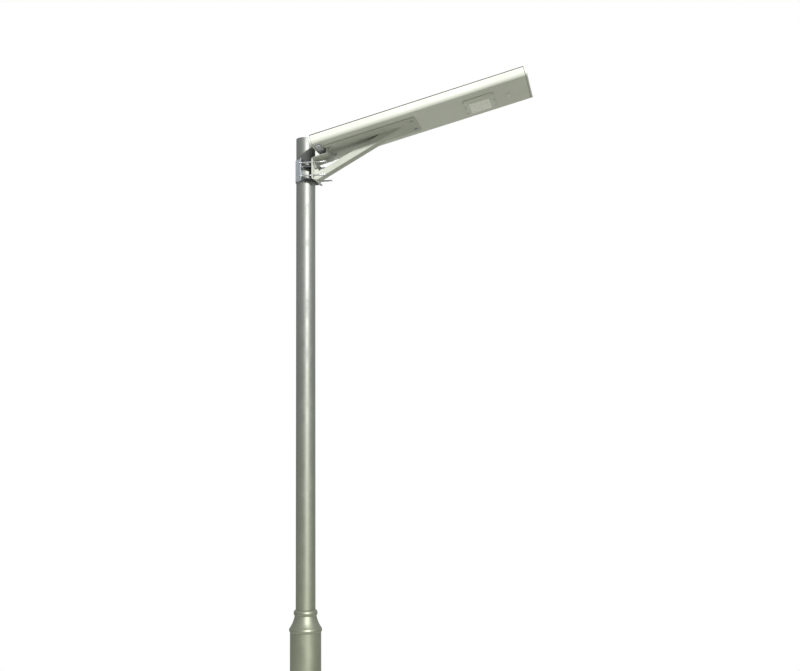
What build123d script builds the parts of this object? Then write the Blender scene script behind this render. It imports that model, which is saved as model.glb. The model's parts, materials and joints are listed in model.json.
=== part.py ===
"""All-in-one solar street lamp on a stepped round pole.

Millimetres.  The origin is the centre of the base flange's underside, on the pole's axis.
+Z is up, +X is the side the lamp head reaches out to, and +Y is across it.
The lamp head is drawn in its own tilted frame: X along the head from its pole-side end,
Y across it, Z square to it with zero on its flat underside.
"""
import os
from math import cos, radians, sin, sqrt, tan

from build123d import *

os.makedirs("parts", exist_ok=True)

# ---------------------------------------------------------------- pole
pole_height = 3000.0
upper_tube_r = 44.5
upper_tube_wall = 3.0
upper_tube_insertion = 300.0
lower_tube_r = 70.0
lower_tube_wall = 4.0
cap_thickness = 4.0
cap_edge_r = 1.5
cap_skirt_depth = 20.0
cap_skirt_wall = 2.5
tube_fit = 0.1

flange_side = 300.0
flange_thickness = 16.0
flange_corner_r = 18.0
anchor_spacing = 220.0
anchor_hole_r = 11.0
cable_hole_r = 45.0
rib_height = 130.0
rib_thickness = 8.0
rib_edge_margin = 12.0
rib_nose = 14.0

collar_lower_ring_z = 748.0
collar_ring_spacing = 73.0
collar_spigot_wall = 3.0
collar_spigot_depth = 9.0
collar_lower_ring_half = 8.0    # upper half of the ring
collar_seat_drop = 12.0         # lower half, down to the lower tube
collar_lower_ring_depth = 4.0   # beyond the lower tube
collar_upper_ring_half = 12.0
collar_upper_ring_depth = 4.5   # beyond the neck
collar_neck_wall = 4.8
collar_bell_in = 0.34           # share of the bell's width left half way up
collar_lip = 3.0
collar_screw_r = 4.0
collar_screw_drop = 6.0         # below the upper ring
collar_screw_socket = 3.0
centering_ring_thickness = 8.0
centering_ring_offset = 12.0

# ---------------------------------------------------------------- pole clamp
clamp_drop = 105.0            # pole top down to the clamp's top edge
clamp_height = 104.0
liner_thickness = 1.0
running_gap = 0.05
saddle_wall = 2.5
rear_flange_thickness = 4.0
rear_flange_setback = 3.0     # rear flange's front face behind the pole's axis plane
saddle_bend_r = 4.0
front_plate_gap = 1.5         # pole's surface to the front plate
sheet = 5.0                   # bracket steel
foot_bend_r = 10.0
foot_reach = 14.0
rod_r = 4.0
rod_margin = 15.5               # pole's surface to the rods' centre lines
rod_half_spacing = upper_tube_r + rod_margin
clamp_side_margin = 10.0
clamp_half_width = rod_half_spacing + clamp_side_margin
rod_drop_upper = 21.0         # below the clamp's top edge
rod_rise_lower = 21.0           # above the clamp's bottom edge
rod_pitch = clamp_height - rod_drop_upper - rod_rise_lower
rod_tail = 62.0               # beyond the front plate
rod_hole_gap = 0.5
nut_r = 7.5
nut_height = 6.5
nut_bore_gap = 0.1
bolt_head_height = 5.5
washer_r = 8.0
washer_thickness = 1.6
cleat_thickness = 6.0
cleat_gap = 1.5
cleat_half_width = clamp_half_width - 5.0
cleat_front_x = 2.0
cleat_drops = (rod_drop_upper + 21.0, clamp_height - 6.0)    # centres below the clamp's top edge

# ---------------------------------------------------------------- lamp head
head_tilt = 14.5
head_length = 1022.0
head_width = 344.0
head_room = 12.0                # floor, tray, straps and laminate round the battery cells
battery_cell_r = 16.0
head_thickness = 2 * battery_cell_r + head_room
head_edge_r = 20.0
head_pole_gap = 9.5
head_drop = 74.6              # pole top down to the head's lower pole-side edge
shell_wall = 2.5
shell_lip = 10.0
end_cap_thickness = 8.0
end_cap_edge_r = 1.5
gasket_thickness = 1.5
port_boss_r = 4.5
port_hole_r = 1.7
cap_screw_r = 1.6
cap_screw_head_r = 3.6
cap_screw_head_height = 2.2
cap_screw_length = 16.0
seal_height = 4.0
seal_edge = 3.5
seal_seat = 0.5
seal_seat_width = 9.0
backsheet_thickness = 0.5
cell_thickness = 0.4
cells_along = 12
cells_across = 3
cell_gap = 2.5
cell_margin = 7.0
laminate_fit = 0.1

# ---------------------------------------------------------------- bracket
plate_start = 50.0            # along the head
plate_end_margin = 20.0         # beyond the second bolt row
plate_width = 210.0
plate_corner_r = 8.0
bracket_bolt_start = 67.0     # first bolt row, along the head
bracket_bolt_gap = 24.0         # charge controller to the second bolt row
bracket_bolt_half_spacing = 60.0
bracket_bolt_r = 4.0
bracket_bolt_head_r = 7.5
bracket_bolt_head_height = 5.5
bracket_washer_r = 9.0
bolt_hole_gap = 0.5
backing_bar_length = 150.0
backing_bar_width = 24.0
backing_bar_thickness = 8.0
tongue_bend_r = 6.0
tongue_rise = 19.0            # height gained from the clamp plate to the joggle
joggle_reach = 72.0             # front plate to the joggle
joggle_bend_r = 4.0
strut_half_width = 28.0
strut_depth = 29.0
strut_wall = 4.0
strut_reach = 430.0             # front plate to where the strut's underside meets the plate
gusset_half_spacing = 18.0
gusset_thickness = 4.0
gusset_height = clamp_height - 30.0
gusset_reach = 34.0

# ---------------------------------------------------------------- service cover and switch
cover_start = 14.0
cover_length = 26.0
cover_half_width = 140.0
cover_depth = 8.0
cover_wall = 2.5
cover_corner_r = 8.0
switch_y = 100.0
switch_body_r = 7.0
switch_body_height = 26.0
switch_bezel_r = 10.0
switch_bezel_height = 3.0
button_r = 5.0
button_gap = 0.06
button_proud = 4.0
button_travel = 2.5
button_depth = 9.0
button_dome_r = 1.5

# ---------------------------------------------------------------- light engine
led_centre = head_length - 240.0
led_window_length = 96.0
led_window_width = 139.0
led_pod_depth = 16.0
led_pod_wall = 5.5
led_pod_slope = 9.0
led_flange = 10.0
led_flange_thickness = 3.0
led_gasket_thickness = 1.0
led_corner_r = 9.0
led_opening_inset = 11.0
lens_thickness = 2.0
lens_overlap = 3.5
lens_fit = 0.2
heatsink_plate = 4.0
heatsink_overlap = 14.0
heatsink_fin_height = 18.0
heatsink_fin_thickness = 2.5
heatsink_fins = 9
pedestal_fit = 1.0
pedestal_drop = 3.0
led_board_thickness = 1.6
led_board_margin = 4.0
led_columns = 4
led_rows = 6
led_chip = 5.0
led_chip_height = 0.8
optic_carrier = 1.5
optic_r = 7.0
optic_height = 4.0
led_pitch = 22.0
bezel_screw_r = 2.0
bezel_screw_head_r = 3.8
bezel_screw_head_height = 2.4

# ---------------------------------------------------------------- motion sensor
pir_centre = head_length - 106.0
pir_flange_r = 14.0
pir_flange_thickness = 3.0
pir_body_r = 11.0
pir_wall = 1.5
pir_body_height = 14.0
pir_can_r = 4.5
pir_can_height = 4.0

# ---------------------------------------------------------------- battery and electronics
battery_start = 96.0
battery_cell_length = 70.0
battery_pitch = 2 * battery_cell_r + 1.0
battery_columns = 6
battery_cell_gap = 2.0
tray_wall = 2.0
tray_height = battery_cell_r + 3.0
tray_play = 1.0
link_thickness = 0.4
link_width = 12.0
strap_width = 16.0
strap_thickness = 1.0
board_thickness = 1.6
protection_board_length = 24.0
protection_board_width = 110.0
controller_gap = 25.0           # protection board to the charge controller
controller_length = 88.0
controller_width = 116.0
controller_height = 24.0
controller_wall = 2.0
controller_lid = 2.0
junction_box_gap = 45.0         # charge controller to the junction box
junction_box_length = 70.0
junction_box_width = 60.0
junction_box_height = 12.0
lead_r = 2.0
mount_play = 0.1              # small gap under pieces that stand on the shell's floor

# ---------------------------------------------------------------- worked-out values
tilt = radians(head_tilt)
clamp_top = pole_height - clamp_drop
clamp_bottom = clamp_top - clamp_height
liner_in = upper_tube_r + running_gap
liner_out = liner_in + liner_thickness
saddle_in = liner_out + running_gap
saddle_out = saddle_in + saddle_wall
front_plate_x = upper_tube_r + front_plate_gap
joggle_x = front_plate_x + joggle_reach
strut_far_x = front_plate_x + strut_reach
rod_heights = (clamp_top - rod_drop_upper, clamp_top - rod_drop_upper - rod_pitch)
rod_places = [(y, z) for y in (-rod_half_spacing, rod_half_spacing) for z in rod_heights]
head_origin = (
    upper_tube_r + head_pole_gap + head_thickness * sin(tilt),
    0.0,
    pole_height - head_drop,
)
head_plane = Plane(
    origin=head_origin,
    x_dir=(cos(tilt), 0, sin(tilt)),
    z_dir=(-sin(tilt), 0, cos(tilt)),
)
shell_start = end_cap_thickness + gasket_thickness
shell_end = head_length - shell_start
shell_height = head_thickness - seal_height
floor_z = shell_wall + mount_play
tray_end = battery_start + battery_columns * battery_pitch + 2 * (tray_wall + tray_play)
board_start = tray_end + 3
controller_start = board_start + protection_board_length + controller_gap
controller_end = controller_start + controller_length
junction_box_start = controller_end + junction_box_gap
bolt_rows = (bracket_bolt_start, controller_end + bracket_bolt_gap)
plate_length = bolt_rows[1] + plate_end_margin - plate_start
bolt_places = [
    (x, y)
    for x in bolt_rows
    for y in (-bracket_bolt_half_spacing, bracket_bolt_half_spacing)
]
CENTRE_UP = (Align.CENTER, Align.CENTER, Align.MIN)


# ---------------------------------------------------------------- helpers
def save(name, shape):
    """Write one sub-part in the lamp's own frame."""
    export_step(shape, f"parts/{name}.step")


def save_head(name, shape):
    """Write one sub-part that was drawn in the head's tilted frame."""
    save(name, head_plane.location * shape)


def block(x0, x1, y0, y1, z0, z1):
    """A box given by its lowest and highest corners."""
    corner = (Align.MIN, Align.MIN, Align.MIN)
    return Pos(x0, y0, z0) * Box(x1 - x0, y1 - y0, z1 - z0, align=corner)


def disc(x, y, z0, z1, radius):
    """An upright cylinder between two heights."""
    return Pos(x, y, z0) * Cylinder(radius, z1 - z0, align=CENTRE_UP)


def bar_x(x0, x1, y, z, radius):
    """A cylinder along X."""
    return Pos(x0, y, z) * Rot(0, 90, 0) * Cylinder(radius, x1 - x0, align=CENTRE_UP)


def hexagon_x(x0, x1, y, z, radius):
    """A hexagonal prism along X, with its corners on the radius."""
    return Pos(x0, y, z) * Rot(0, 90, 0) * extrude(RegularPolygon(radius, 6), x1 - x0)


def hexagon_z(x, y, z0, z1, radius):
    """An upright hexagonal prism."""
    return Pos(x, y, z0) * extrude(RegularPolygon(radius, 6), z1 - z0)


def rounded_plate(x, y, z0, z1, length, width, radius):
    """A flat plate with rounded corners, centred on x, y."""
    return Pos(x, y, z0) * extrude(RectangleRounded(length, width, radius), z1 - z0)


def side_prism(points, half_width):
    """A prism across the lamp, from an outline given as x, z points."""
    face = make_face(Polyline(points, close=True))
    return extrude(Plane.XZ * face, amount=half_width, both=True)


def gather(pieces):
    """Join a list of pieces into one sub-part."""
    return Part() + list(pieces)


def lead(points, radius, bend):
    """A round wire along straight runs joined by tangent arcs."""
    path = FilletPolyline(*points, radius=bend)
    section = Plane(origin=path @ 0, z_dir=path % 0) * Circle(radius)
    return sweep(section, path=path)


# ---------------------------------------------------------------- pole
def base_flange():
    """Square plate with four anchor holes and a cable hole."""
    plate = rounded_plate(0, 0, 0, flange_thickness, flange_side, flange_side, flange_corner_r)
    half = anchor_spacing / 2
    for x in (-half, half):
        for y in (-half, half):
            plate -= disc(x, y, 0, flange_thickness, anchor_hole_r)
    return plate - disc(0, 0, 0, flange_thickness, cable_hole_r)


def base_ribs():
    """Four triangular ribs between the lower tube and the flange."""
    inner = lower_tube_r + tube_fit
    outer = flange_side / 2 - rib_edge_margin
    low = flange_thickness
    outline = [
        (inner, low),
        (outer, low),
        (outer, low + rib_nose),
        (inner + rib_nose, low + rib_height),
        (inner, low + rib_height),
    ]
    rib = side_prism(outline, rib_thickness / 2)
    return gather(Rot(0, 0, 90 * quarter) * rib for quarter in range(4))


lower_tube_top = collar_lower_ring_z - collar_seat_drop
upper_tube_bottom = lower_tube_top - upper_tube_insertion
upper_tube_top = pole_height - cap_thickness


def tube(z0, z1, radius, wall):
    """A plain round tube."""
    return disc(0, 0, z0, z1, radius) - disc(0, 0, z0, z1, radius - wall)


def centering_rings():
    """Two rings that hold the upper tube in the middle of the lower one."""
    outer = lower_tube_r - lower_tube_wall - tube_fit
    inner = upper_tube_r + tube_fit
    low = upper_tube_bottom + centering_ring_offset
    high = lower_tube_top - centering_ring_offset - centering_ring_thickness
    return gather(
        tube(z, z + centering_ring_thickness, outer, outer - inner) for z in (low, high)
    )


def transition_collar():
    """Turned collar: a spigot in the lower tube, a ring, a bell, a second ring and a lip."""
    bore = upper_tube_r + tube_fit
    spigot_out = lower_tube_r - lower_tube_wall - tube_fit
    spigot_in = spigot_out - collar_spigot_wall
    seat = lower_tube_top + tube_fit
    hem = lower_tube_top - collar_spigot_depth
    neck = upper_tube_r + collar_neck_wall
    ring = collar_lower_ring_z
    upper = ring + collar_ring_spacing
    foot = (lower_tube_r + 1, ring + collar_lower_ring_half)
    top = (neck, upper - collar_upper_ring_half)
    crest = (neck, upper + collar_upper_ring_half)
    knee = (neck + collar_bell_in * (foot[0] - neck), (foot[1] + top[1]) / 2)
    outline = [
        Line((spigot_in, hem), (spigot_out, hem)),
        Line((spigot_out, hem), (spigot_out, seat)),
        Line((spigot_out, seat), (lower_tube_r, seat)),
        ThreePointArc((lower_tube_r, seat), (lower_tube_r + collar_lower_ring_depth, ring), foot),
        ThreePointArc(foot, knee, top),
        ThreePointArc(top, (neck + collar_upper_ring_depth, upper), crest),
        Line(crest, (bore, crest[1] + collar_lip)),
        Line((bore, crest[1] + collar_lip), (bore, seat)),
        Line((bore, seat), (spigot_in, seat)),
        Line((spigot_in, seat), (spigot_in, hem)),
    ]
    solid = revolve(Plane.XZ * make_face(outline), axis=Axis.Z)
    height = top[1] - collar_screw_drop
    for turn in range(3):
        solid -= Rot(0, 0, 120 * turn) * bar_x(0, 2 * lower_tube_r, 0, height, collar_screw_r)
    return solid


def collar_screws():
    """Three set screws that lock the collar on the upper tube."""
    height = collar_lower_ring_z + collar_ring_spacing - collar_upper_ring_half - collar_screw_drop
    inner = upper_tube_r + tube_fit
    outer = upper_tube_r + collar_neck_wall
    screw = bar_x(inner, outer - 0.5, 0, height, collar_screw_r - tube_fit)
    screw -= hexagon_x(outer - collar_screw_socket, outer, 0, height, collar_screw_r / 2)
    return gather(Rot(0, 0, 120 * turn) * screw for turn in range(3))


def pole_cap():
    """Flat cap with a skirt inside the tube."""
    top = disc(0, 0, upper_tube_top, pole_height, upper_tube_r)
    top = fillet(top.edges().group_by(Axis.Z)[-1], cap_edge_r)
    skirt_r = upper_tube_r - upper_tube_wall - tube_fit
    return top + tube(upper_tube_top - cap_skirt_depth, upper_tube_top, skirt_r, cap_skirt_wall)


# ---------------------------------------------------------------- clamp
def clamp_liner():
    """Thin rubber sleeve between the pole and the clamp."""
    return tube(clamp_bottom + 1, clamp_top - 1, liner_out, liner_thickness)


def rear_saddle():
    """Pressed steel half-shell round the back of the pole, with two bolt flanges."""
    front = -rear_flange_setback
    back = front - rear_flange_thickness
    shell = Circle(saddle_out) & Pos(front - saddle_out, 0) * Rectangle(2 * saddle_out, 3 * saddle_out)
    wings = Pos((front + back) / 2, 0) * Rectangle(rear_flange_thickness, 2 * clamp_half_width)
    section = shell + wings - Circle(saddle_in)
    inner_half = clamp_half_width - 1
    corners = section.vertices().filter_by(lambda v: abs(v.X - back) < 0.01 and abs(v.Y) < inner_half)
    section = fillet(corners, saddle_bend_r)
    body = Pos(0, 0, clamp_bottom) * extrude(section, clamp_height)
    for y, z in rod_places:
        body -= bar_x(back - 1, front + 1, y, z, rod_r + rod_hole_gap)
    return body


def rods():
    """Four hexagon-head bolts from the rear saddle to beyond the front plate."""
    back = -rear_flange_setback - rear_flange_thickness - washer_thickness
    tip = front_plate_x + sheet + rod_tail
    pieces = []
    for y, z in rod_places:
        pieces.append(bar_x(back, tip, y, z, rod_r) + hexagon_x(back - bolt_head_height, back, y, z, nut_r))
    return gather(pieces)


def washer_row(x0):
    """Four flat washers on the rods."""
    bore = rod_r + nut_bore_gap
    x1 = x0 + washer_thickness
    return gather(bar_x(x0, x1, y, z, washer_r) - bar_x(x0, x1, y, z, bore) for y, z in rod_places)


def nuts():
    """Four nuts against the front washers."""
    x0 = front_plate_x + sheet + washer_thickness
    bore = rod_r + nut_bore_gap
    return gather(
        hexagon_x(x0, x0 + nut_height, y, z, nut_r) - bar_x(x0, x0 + nut_height, y, z, bore)
        for y, z in rod_places
    )


def front_plate():
    """Upright clamp plate whose foot turns out under the strut."""
    middle = front_plate_x + sheet / 2
    foot = clamp_bottom + sheet / 2
    path = FilletPolyline(
        (middle, clamp_top - rod_drop_upper / 2),
        (middle, foot),
        (middle + foot_reach, foot),
        radius=foot_bend_r,
    )
    body = extrude(Plane.XZ * trace(path, sheet), amount=clamp_half_width, both=True)
    for y, z in rod_places:
        body -= bar_x(front_plate_x - 1, front_plate_x + sheet + 1, y, z, rod_r + rod_hole_gap)
    return body


def cleats(plate):
    """Two flat notched cleats that centre the pole against the front plate."""
    notch = disc(0, 0, clamp_bottom - cleat_thickness, clamp_top, liner_out + cleat_gap)
    pieces = []
    for drop in cleat_drops:
        middle = clamp_top - drop
        low = middle - cleat_thickness / 2
        flat = block(
            cleat_front_x,
            front_plate_x + sheet,
            -cleat_half_width,
            cleat_half_width,
            low,
            low + cleat_thickness,
        )
        flat = fillet(flat.edges().filter_by(Axis.Z).group_by(Axis.X)[0], cleat_thickness)
        flat = flat - notch - plate
        pieces.append(flat.solids().sort_by(SortBy.VOLUME)[-1])
    return gather(pieces)


# ---------------------------------------------------------------- bracket
def plate_underside(x):
    """Height of the top plate's lower face above a place x of the lamp's frame."""
    return head_origin[2] + (x - head_origin[0]) * tan(tilt) - sheet / cos(tilt)


def top_plate():
    """Bolted plate under the head, with the tongue that joggles down to the clamp plate."""
    plate = rounded_plate(
        plate_start + plate_length / 2, 0, -sheet, 0, plate_length, plate_width, plate_corner_r
    )
    for x, y in bolt_places:
        plate -= disc(x, y, -sheet, 0, bracket_bolt_r + bolt_hole_gap)
    middle = front_plate_x + sheet / 2
    bend_z = clamp_top - sheet / 2 / cos(tilt)
    path = FilletPolyline(
        (middle, clamp_top - rod_drop_upper / 2),
        (middle, bend_z),
        (joggle_x, bend_z + tongue_rise),
        (joggle_x, plate_underside(joggle_x) + sheet / 2),
        radius=(tongue_bend_r, joggle_bend_r),
    )
    tongue = extrude(Plane.XZ * trace(path, sheet), amount=clamp_half_width, both=True)
    return head_plane.location * plate + tongue


strut_foot = (front_plate_x + sheet + foot_bend_r - sheet / 2, clamp_bottom + sheet)
strut_slope = (plate_underside(strut_far_x) - strut_foot[1]) / (strut_far_x - strut_foot[0])
strut_cos = 1 / sqrt(1 + strut_slope**2)


def strut_line(x, depth=0.0):
    """Height of the strut's underside at x, or of a line that deep inside it."""
    return strut_foot[1] + (x - strut_foot[0]) * strut_slope + depth / strut_cos


def strut():
    """Channel strut, open upwards, from the clamp plate's foot to the top plate."""
    start = front_plate_x + sheet
    inner_r = foot_bend_r - sheet / 2
    top_meet = strut_far_x - strut_depth / strut_cos / (strut_slope - tan(tilt))
    outline = [
        Line((start, strut_line(start, strut_depth)), (start, strut_foot[1] + inner_r)),
        ThreePointArc(
            (start, strut_foot[1] + inner_r),
            (start + inner_r * (1 - sqrt(0.5)), strut_foot[1] + inner_r * (1 - sqrt(0.5))),
            strut_foot,
        ),
        Line(strut_foot, (strut_far_x, strut_line(strut_far_x))),
        Line((strut_far_x, strut_line(strut_far_x)), (top_meet, plate_underside(top_meet))),
        Line((top_meet, plate_underside(top_meet)), (start, strut_line(start, strut_depth))),
    ]
    body = extrude(Plane.XZ * make_face(outline), amount=strut_half_width, both=True)
    inside = [
        (start - 1, strut_line(start - 1, strut_wall)),
        (strut_far_x, strut_line(strut_far_x, strut_wall)),
        (strut_far_x, clamp_top + head_length * sin(tilt)),
        (start - 1, clamp_top + head_length * sin(tilt)),
    ]
    return body - side_prism(inside, strut_half_width - strut_wall)


def gussets():
    """Two webs between the clamp plate and the strut's floor."""
    start = front_plate_x + sheet
    toe = start + gusset_reach
    low = strut_foot[1] + foot_bend_r
    heel = strut_foot[0] + 4
    outline = [
        (start, low),
        (start, clamp_bottom + gusset_height),
        (toe, strut_line(toe, strut_wall)),
        (heel, strut_line(heel, strut_wall)),
    ]
    web = side_prism(outline, gusset_thickness / 2)
    return gather(Pos(0, y, 0) * web for y in (-gusset_half_spacing, gusset_half_spacing))


def bracket_bolts():
    """Four hexagon bolts up through the plate and the shell into the backing bars."""
    under = -sheet - washer_thickness
    tip = shell_wall + mount_play + backing_bar_thickness
    return gather(
        disc(x, y, under, tip, bracket_bolt_r)
        + hexagon_z(x, y, under - bracket_bolt_head_height, under, bracket_bolt_head_r)
        for x, y in bolt_places
    )


def bracket_washers():
    """Four washers under the bracket bolts' heads."""
    low = -sheet - washer_thickness
    bore = bracket_bolt_r + nut_bore_gap
    return gather(
        disc(x, y, low, -sheet, bracket_washer_r) - disc(x, y, low, -sheet, bore)
        for x, y in bolt_places
    )


def backing_bars():
    """Two tapped bars on the shell's floor that take the bracket bolts."""
    pieces = []
    for x in bolt_rows:
        half = backing_bar_width / 2
        side = backing_bar_length / 2
        piece = block(x - half, x + half, -side, side, floor_z, floor_z + backing_bar_thickness)
        for y in (-bracket_bolt_half_spacing, bracket_bolt_half_spacing):
            piece -= disc(x, y, floor_z, floor_z + backing_bar_thickness, bracket_bolt_r + nut_bore_gap)
        pieces.append(piece)
    return gather(pieces)


# ---------------------------------------------------------------- head casing
def head_section(inset, height):
    """The head's cross-section: flat underside, rounded lower edges, square top."""
    face = Pos(0, (inset + height) / 2) * Rectangle(head_width - 2 * inset, height - inset)
    return fillet(face.vertices().group_by(Axis.Y)[0], head_edge_r - inset)


half_head = head_width / 2
port_low = (12.0, 8.0)
port_high = (6.0, shell_height - shell_wall - port_boss_r + 1)
port_places = [
    (side * (half_head - inset), height)
    for side in (-1, 1)
    for inset, height in (port_low, port_high)
]


def led_opening(z0, z1, grow=0.0):
    """The opening for the light engine, as a solid to cut with."""
    length = led_window_length + led_opening_inset + grow
    width = led_window_width + led_opening_inset + grow
    return rounded_plate(led_centre, 0, z0, z1, length, width, led_corner_r)


def body_shell():
    """Extruded tray with lips for the laminate and four screw ports."""
    section = head_section(0, shell_height) - head_section(shell_wall, shell_height - shell_wall)
    mouth = Pos(0, shell_height) * Rectangle(head_width - 2 * shell_lip, 4 * shell_wall)
    section -= mouth
    for y, z in port_places:
        section += Pos(y, z) * Circle(port_boss_r) & head_section(0, shell_height)
    for y, z in port_places:
        section -= Pos(y, z) * Circle(port_hole_r)
    body = extrude(Plane.YZ.offset(shell_start) * section, shell_end - shell_start)
    for x, y in bolt_places:
        body -= disc(x, y, -1, shell_wall + 1, bracket_bolt_r + bolt_hole_gap)
    body -= led_opening(-1, shell_wall + 1)
    for x, y in bezel_screw_places:
        body -= disc(x, y, -1, shell_wall + 1, bezel_screw_r + lens_fit)
    body -= disc(pir_centre, 0, -1, shell_wall + 1, pir_body_r + lens_fit)
    cover_centre = cover_start + cover_length / 2
    body -= disc(cover_centre, switch_y, -1, shell_wall + 1, switch_body_r + bolt_hole_gap)
    return body


def end_cap(x0, outside):
    """Cast end cap with four plain holes for its screws."""
    body = extrude(Plane.YZ.offset(x0) * head_section(0, head_thickness), end_cap_thickness)
    rim = body.faces().sort_by(Axis.X)[-1 if outside > 0 else 0].edges()
    body = fillet(rim, end_cap_edge_r)
    for y, z in port_places:
        body -= bar_x(x0 - 1, x0 + end_cap_thickness + 1, y, z, cap_screw_r + bolt_hole_gap)
    return body


def end_gasket(x0):
    """Flat gasket between an end cap and the shell."""
    face = head_section(0.5, shell_height) - head_section(shell_wall + 6, shell_height - shell_wall)
    for y, z in port_places:
        face -= Pos(y, z) * Circle(cap_screw_r + bolt_hole_gap)
    return extrude(Plane.YZ.offset(x0) * face, gasket_thickness)


def end_cap_screws():
    """Eight pan-head screws, four at each end."""
    pieces = []
    for y, z in port_places:
        near = bar_x(0, cap_screw_length, y, z, cap_screw_r)
        near += bar_x(-cap_screw_head_height, 0, y, z, cap_screw_head_r)
        pieces.append(near)
        far = bar_x(head_length - cap_screw_length, head_length, y, z, cap_screw_r)
        far += bar_x(head_length, head_length + cap_screw_head_height, y, z, cap_screw_head_r)
        pieces.append(far)
    return gather(pieces)


# ---------------------------------------------------------------- photovoltaic laminate
laminate_length = head_length - 2 * (end_cap_thickness + seal_edge + laminate_fit)
laminate_width = head_width - 2 * (seal_edge + laminate_fit)
laminate_z = shell_height + seal_seat + laminate_fit
cells_z = laminate_z + backsheet_thickness
glass_z = cells_z + cell_thickness
middle_x = head_length / 2


def flat(z0, z1, length, width):
    """A flat slab centred on the head."""
    return block(middle_x - length / 2, middle_x + length / 2, -width / 2, width / 2, z0, z1)


def pv_seal():
    """Black edge seal under and round the laminate."""
    length = head_length - 2 * end_cap_thickness
    seat_in = 2 * seal_seat_width
    ring = flat(shell_height, head_thickness, length - 0.2, head_width)
    ring -= flat(laminate_z - laminate_fit, head_thickness, length - 2 * seal_edge, head_width - 2 * seal_edge)
    return ring - flat(shell_height, laminate_z, length - seat_in, head_width - seat_in)


def pv_cells():
    """Thirty-six separate cells."""
    length = (laminate_length - 2 * cell_margin - (cells_along - 1) * cell_gap) / cells_along
    width = (laminate_width - 2 * cell_margin - (cells_across - 1) * cell_gap) / cells_across
    x0 = middle_x - laminate_length / 2 + cell_margin
    y0 = -laminate_width / 2 + cell_margin
    pieces = []
    for i in range(cells_along):
        for j in range(cells_across):
            x = x0 + i * (length + cell_gap)
            y = y0 + j * (width + cell_gap)
            pieces.append(block(x, x + length, y, y + width, cells_z, glass_z))
    return gather(pieces)


def junction_box():
    """Potted box under the laminate's backsheet."""
    low = laminate_z - junction_box_height
    side = junction_box_width / 2
    end = junction_box_start + junction_box_length
    body = block(junction_box_start, end, -side, side, low, laminate_z)
    return fillet(body.edges().filter_by(Axis.Z), 4)


# ---------------------------------------------------------------- battery
battery_z = floor_z + tray_wall + battery_cell_r + mount_play
cell_y = (battery_cell_gap + battery_cell_length) / 2
tray_half_width = battery_cell_gap / 2 + battery_cell_length + link_thickness + tray_play + tray_wall
cell_columns = [
    battery_start + tray_wall + tray_play + battery_pitch * (i + 0.5) for i in range(battery_columns)
]


def battery_tray():
    """Open moulded tray on the shell's floor."""
    outer = block(battery_start, tray_end, -tray_half_width, tray_half_width, floor_z, floor_z + tray_height)
    inner = block(
        battery_start + tray_wall,
        tray_end - tray_wall,
        tray_wall - tray_half_width,
        tray_half_width - tray_wall,
        floor_z + tray_wall,
        floor_z + tray_height,
    )
    return outer - inner


def battery_cells():
    """Twelve cylindrical cells lying across the head."""
    lying = Rot(90, 0, 0) * Cylinder(battery_cell_r, battery_cell_length)
    return gather(Pos(x, y, battery_z) * lying for x in cell_columns for y in (-cell_y, cell_y))


def battery_links():
    """Nickel strips that join neighbouring cells at their outer ends."""
    pieces = []
    for first in range(0, battery_columns, 2):
        x0 = cell_columns[first] - link_width / 2
        x1 = cell_columns[first + 1] + link_width / 2
        for side in (-1, 1):
            near = side * (battery_cell_gap / 2 + battery_cell_length)
            far = near + side * link_thickness
            low = battery_z - link_width / 2
            pieces.append(block(x0, x1, min(near, far), max(near, far), low, low + link_width))
    return gather(pieces)


def battery_straps():
    """Two flat straps over the cells, down to the shell's floor."""
    top = battery_z + battery_cell_r + mount_play
    side = tray_half_width + mount_play
    pieces = []
    for x in (cell_columns[1], cell_columns[-2]):
        x0 = x - strap_width / 2
        x1 = x + strap_width / 2
        outer = side + strap_thickness
        band = block(x0, x1, -outer, outer, floor_z, top + strap_thickness)
        band -= block(x0, x1, -side, side, floor_z, top)
        for sign in (-1, 1):
            foot_in = sign * side
            foot_out = sign * (side + strap_width)
            band += block(
                x0, x1, min(foot_in, foot_out), max(foot_in, foot_out), floor_z, floor_z + strap_thickness
            )
        pieces.append(band)
    return gather(pieces)


def protection_board():
    """Battery protection board beside the tray, with its switches and chips."""
    x0 = board_start
    side = protection_board_width / 2
    low = floor_z + 5
    board = block(x0, x0 + protection_board_length, -side, side, low, low + board_thickness)
    for i in range(6):
        y = -side + 10 + 16 * i
        board += block(x0 + 5, x0 + 14, y, y + 9, low + board_thickness, low + board_thickness + 3)
    for y in (-side + 5, side - 5):
        board += disc(x0 + protection_board_length / 2, y, floor_z, low, 2.5)
    return board


# ---------------------------------------------------------------- controller
controller_top = floor_z + controller_height


def controller_case():
    """Open box for the charge controller."""
    side = controller_width / 2
    wall = controller_wall
    outer = block(controller_start, controller_end, -side, side, floor_z, controller_top)
    inner = block(
        controller_start + wall,
        controller_end - wall,
        wall - side,
        side - wall,
        floor_z + wall,
        controller_top,
    )
    return outer - inner


def controller_cover():
    """Lid of the charge controller."""
    return rounded_plate(
        (controller_start + controller_end) / 2,
        0,
        controller_top,
        controller_top + controller_lid,
        controller_length,
        controller_width,
        3,
    )


def controller_board():
    """Charge controller and LED driver board with its larger parts."""
    wall = controller_wall + 1
    side = controller_width / 2 - wall
    low = floor_z + controller_wall + 4
    top = low + board_thickness
    x0 = controller_start + wall
    x1 = controller_end - wall
    board = block(x0, x1, -side, side, low, top)
    for y in (-34, 34):
        board += disc(x0 + 22, y, top, top + 12, 9)
    for y in (-42, -28, -14):
        board += disc(x1 - 12, y, top, top + 13, 5)
    board += block(x0 + 42, x0 + 54, -8, 22, top, top + 6)
    for x in (x0 + 5, x1 - 5):
        for y in (5 - side, side - 5):
            board += disc(x, y, floor_z + controller_wall, low, 2.5)
    return board


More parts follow.
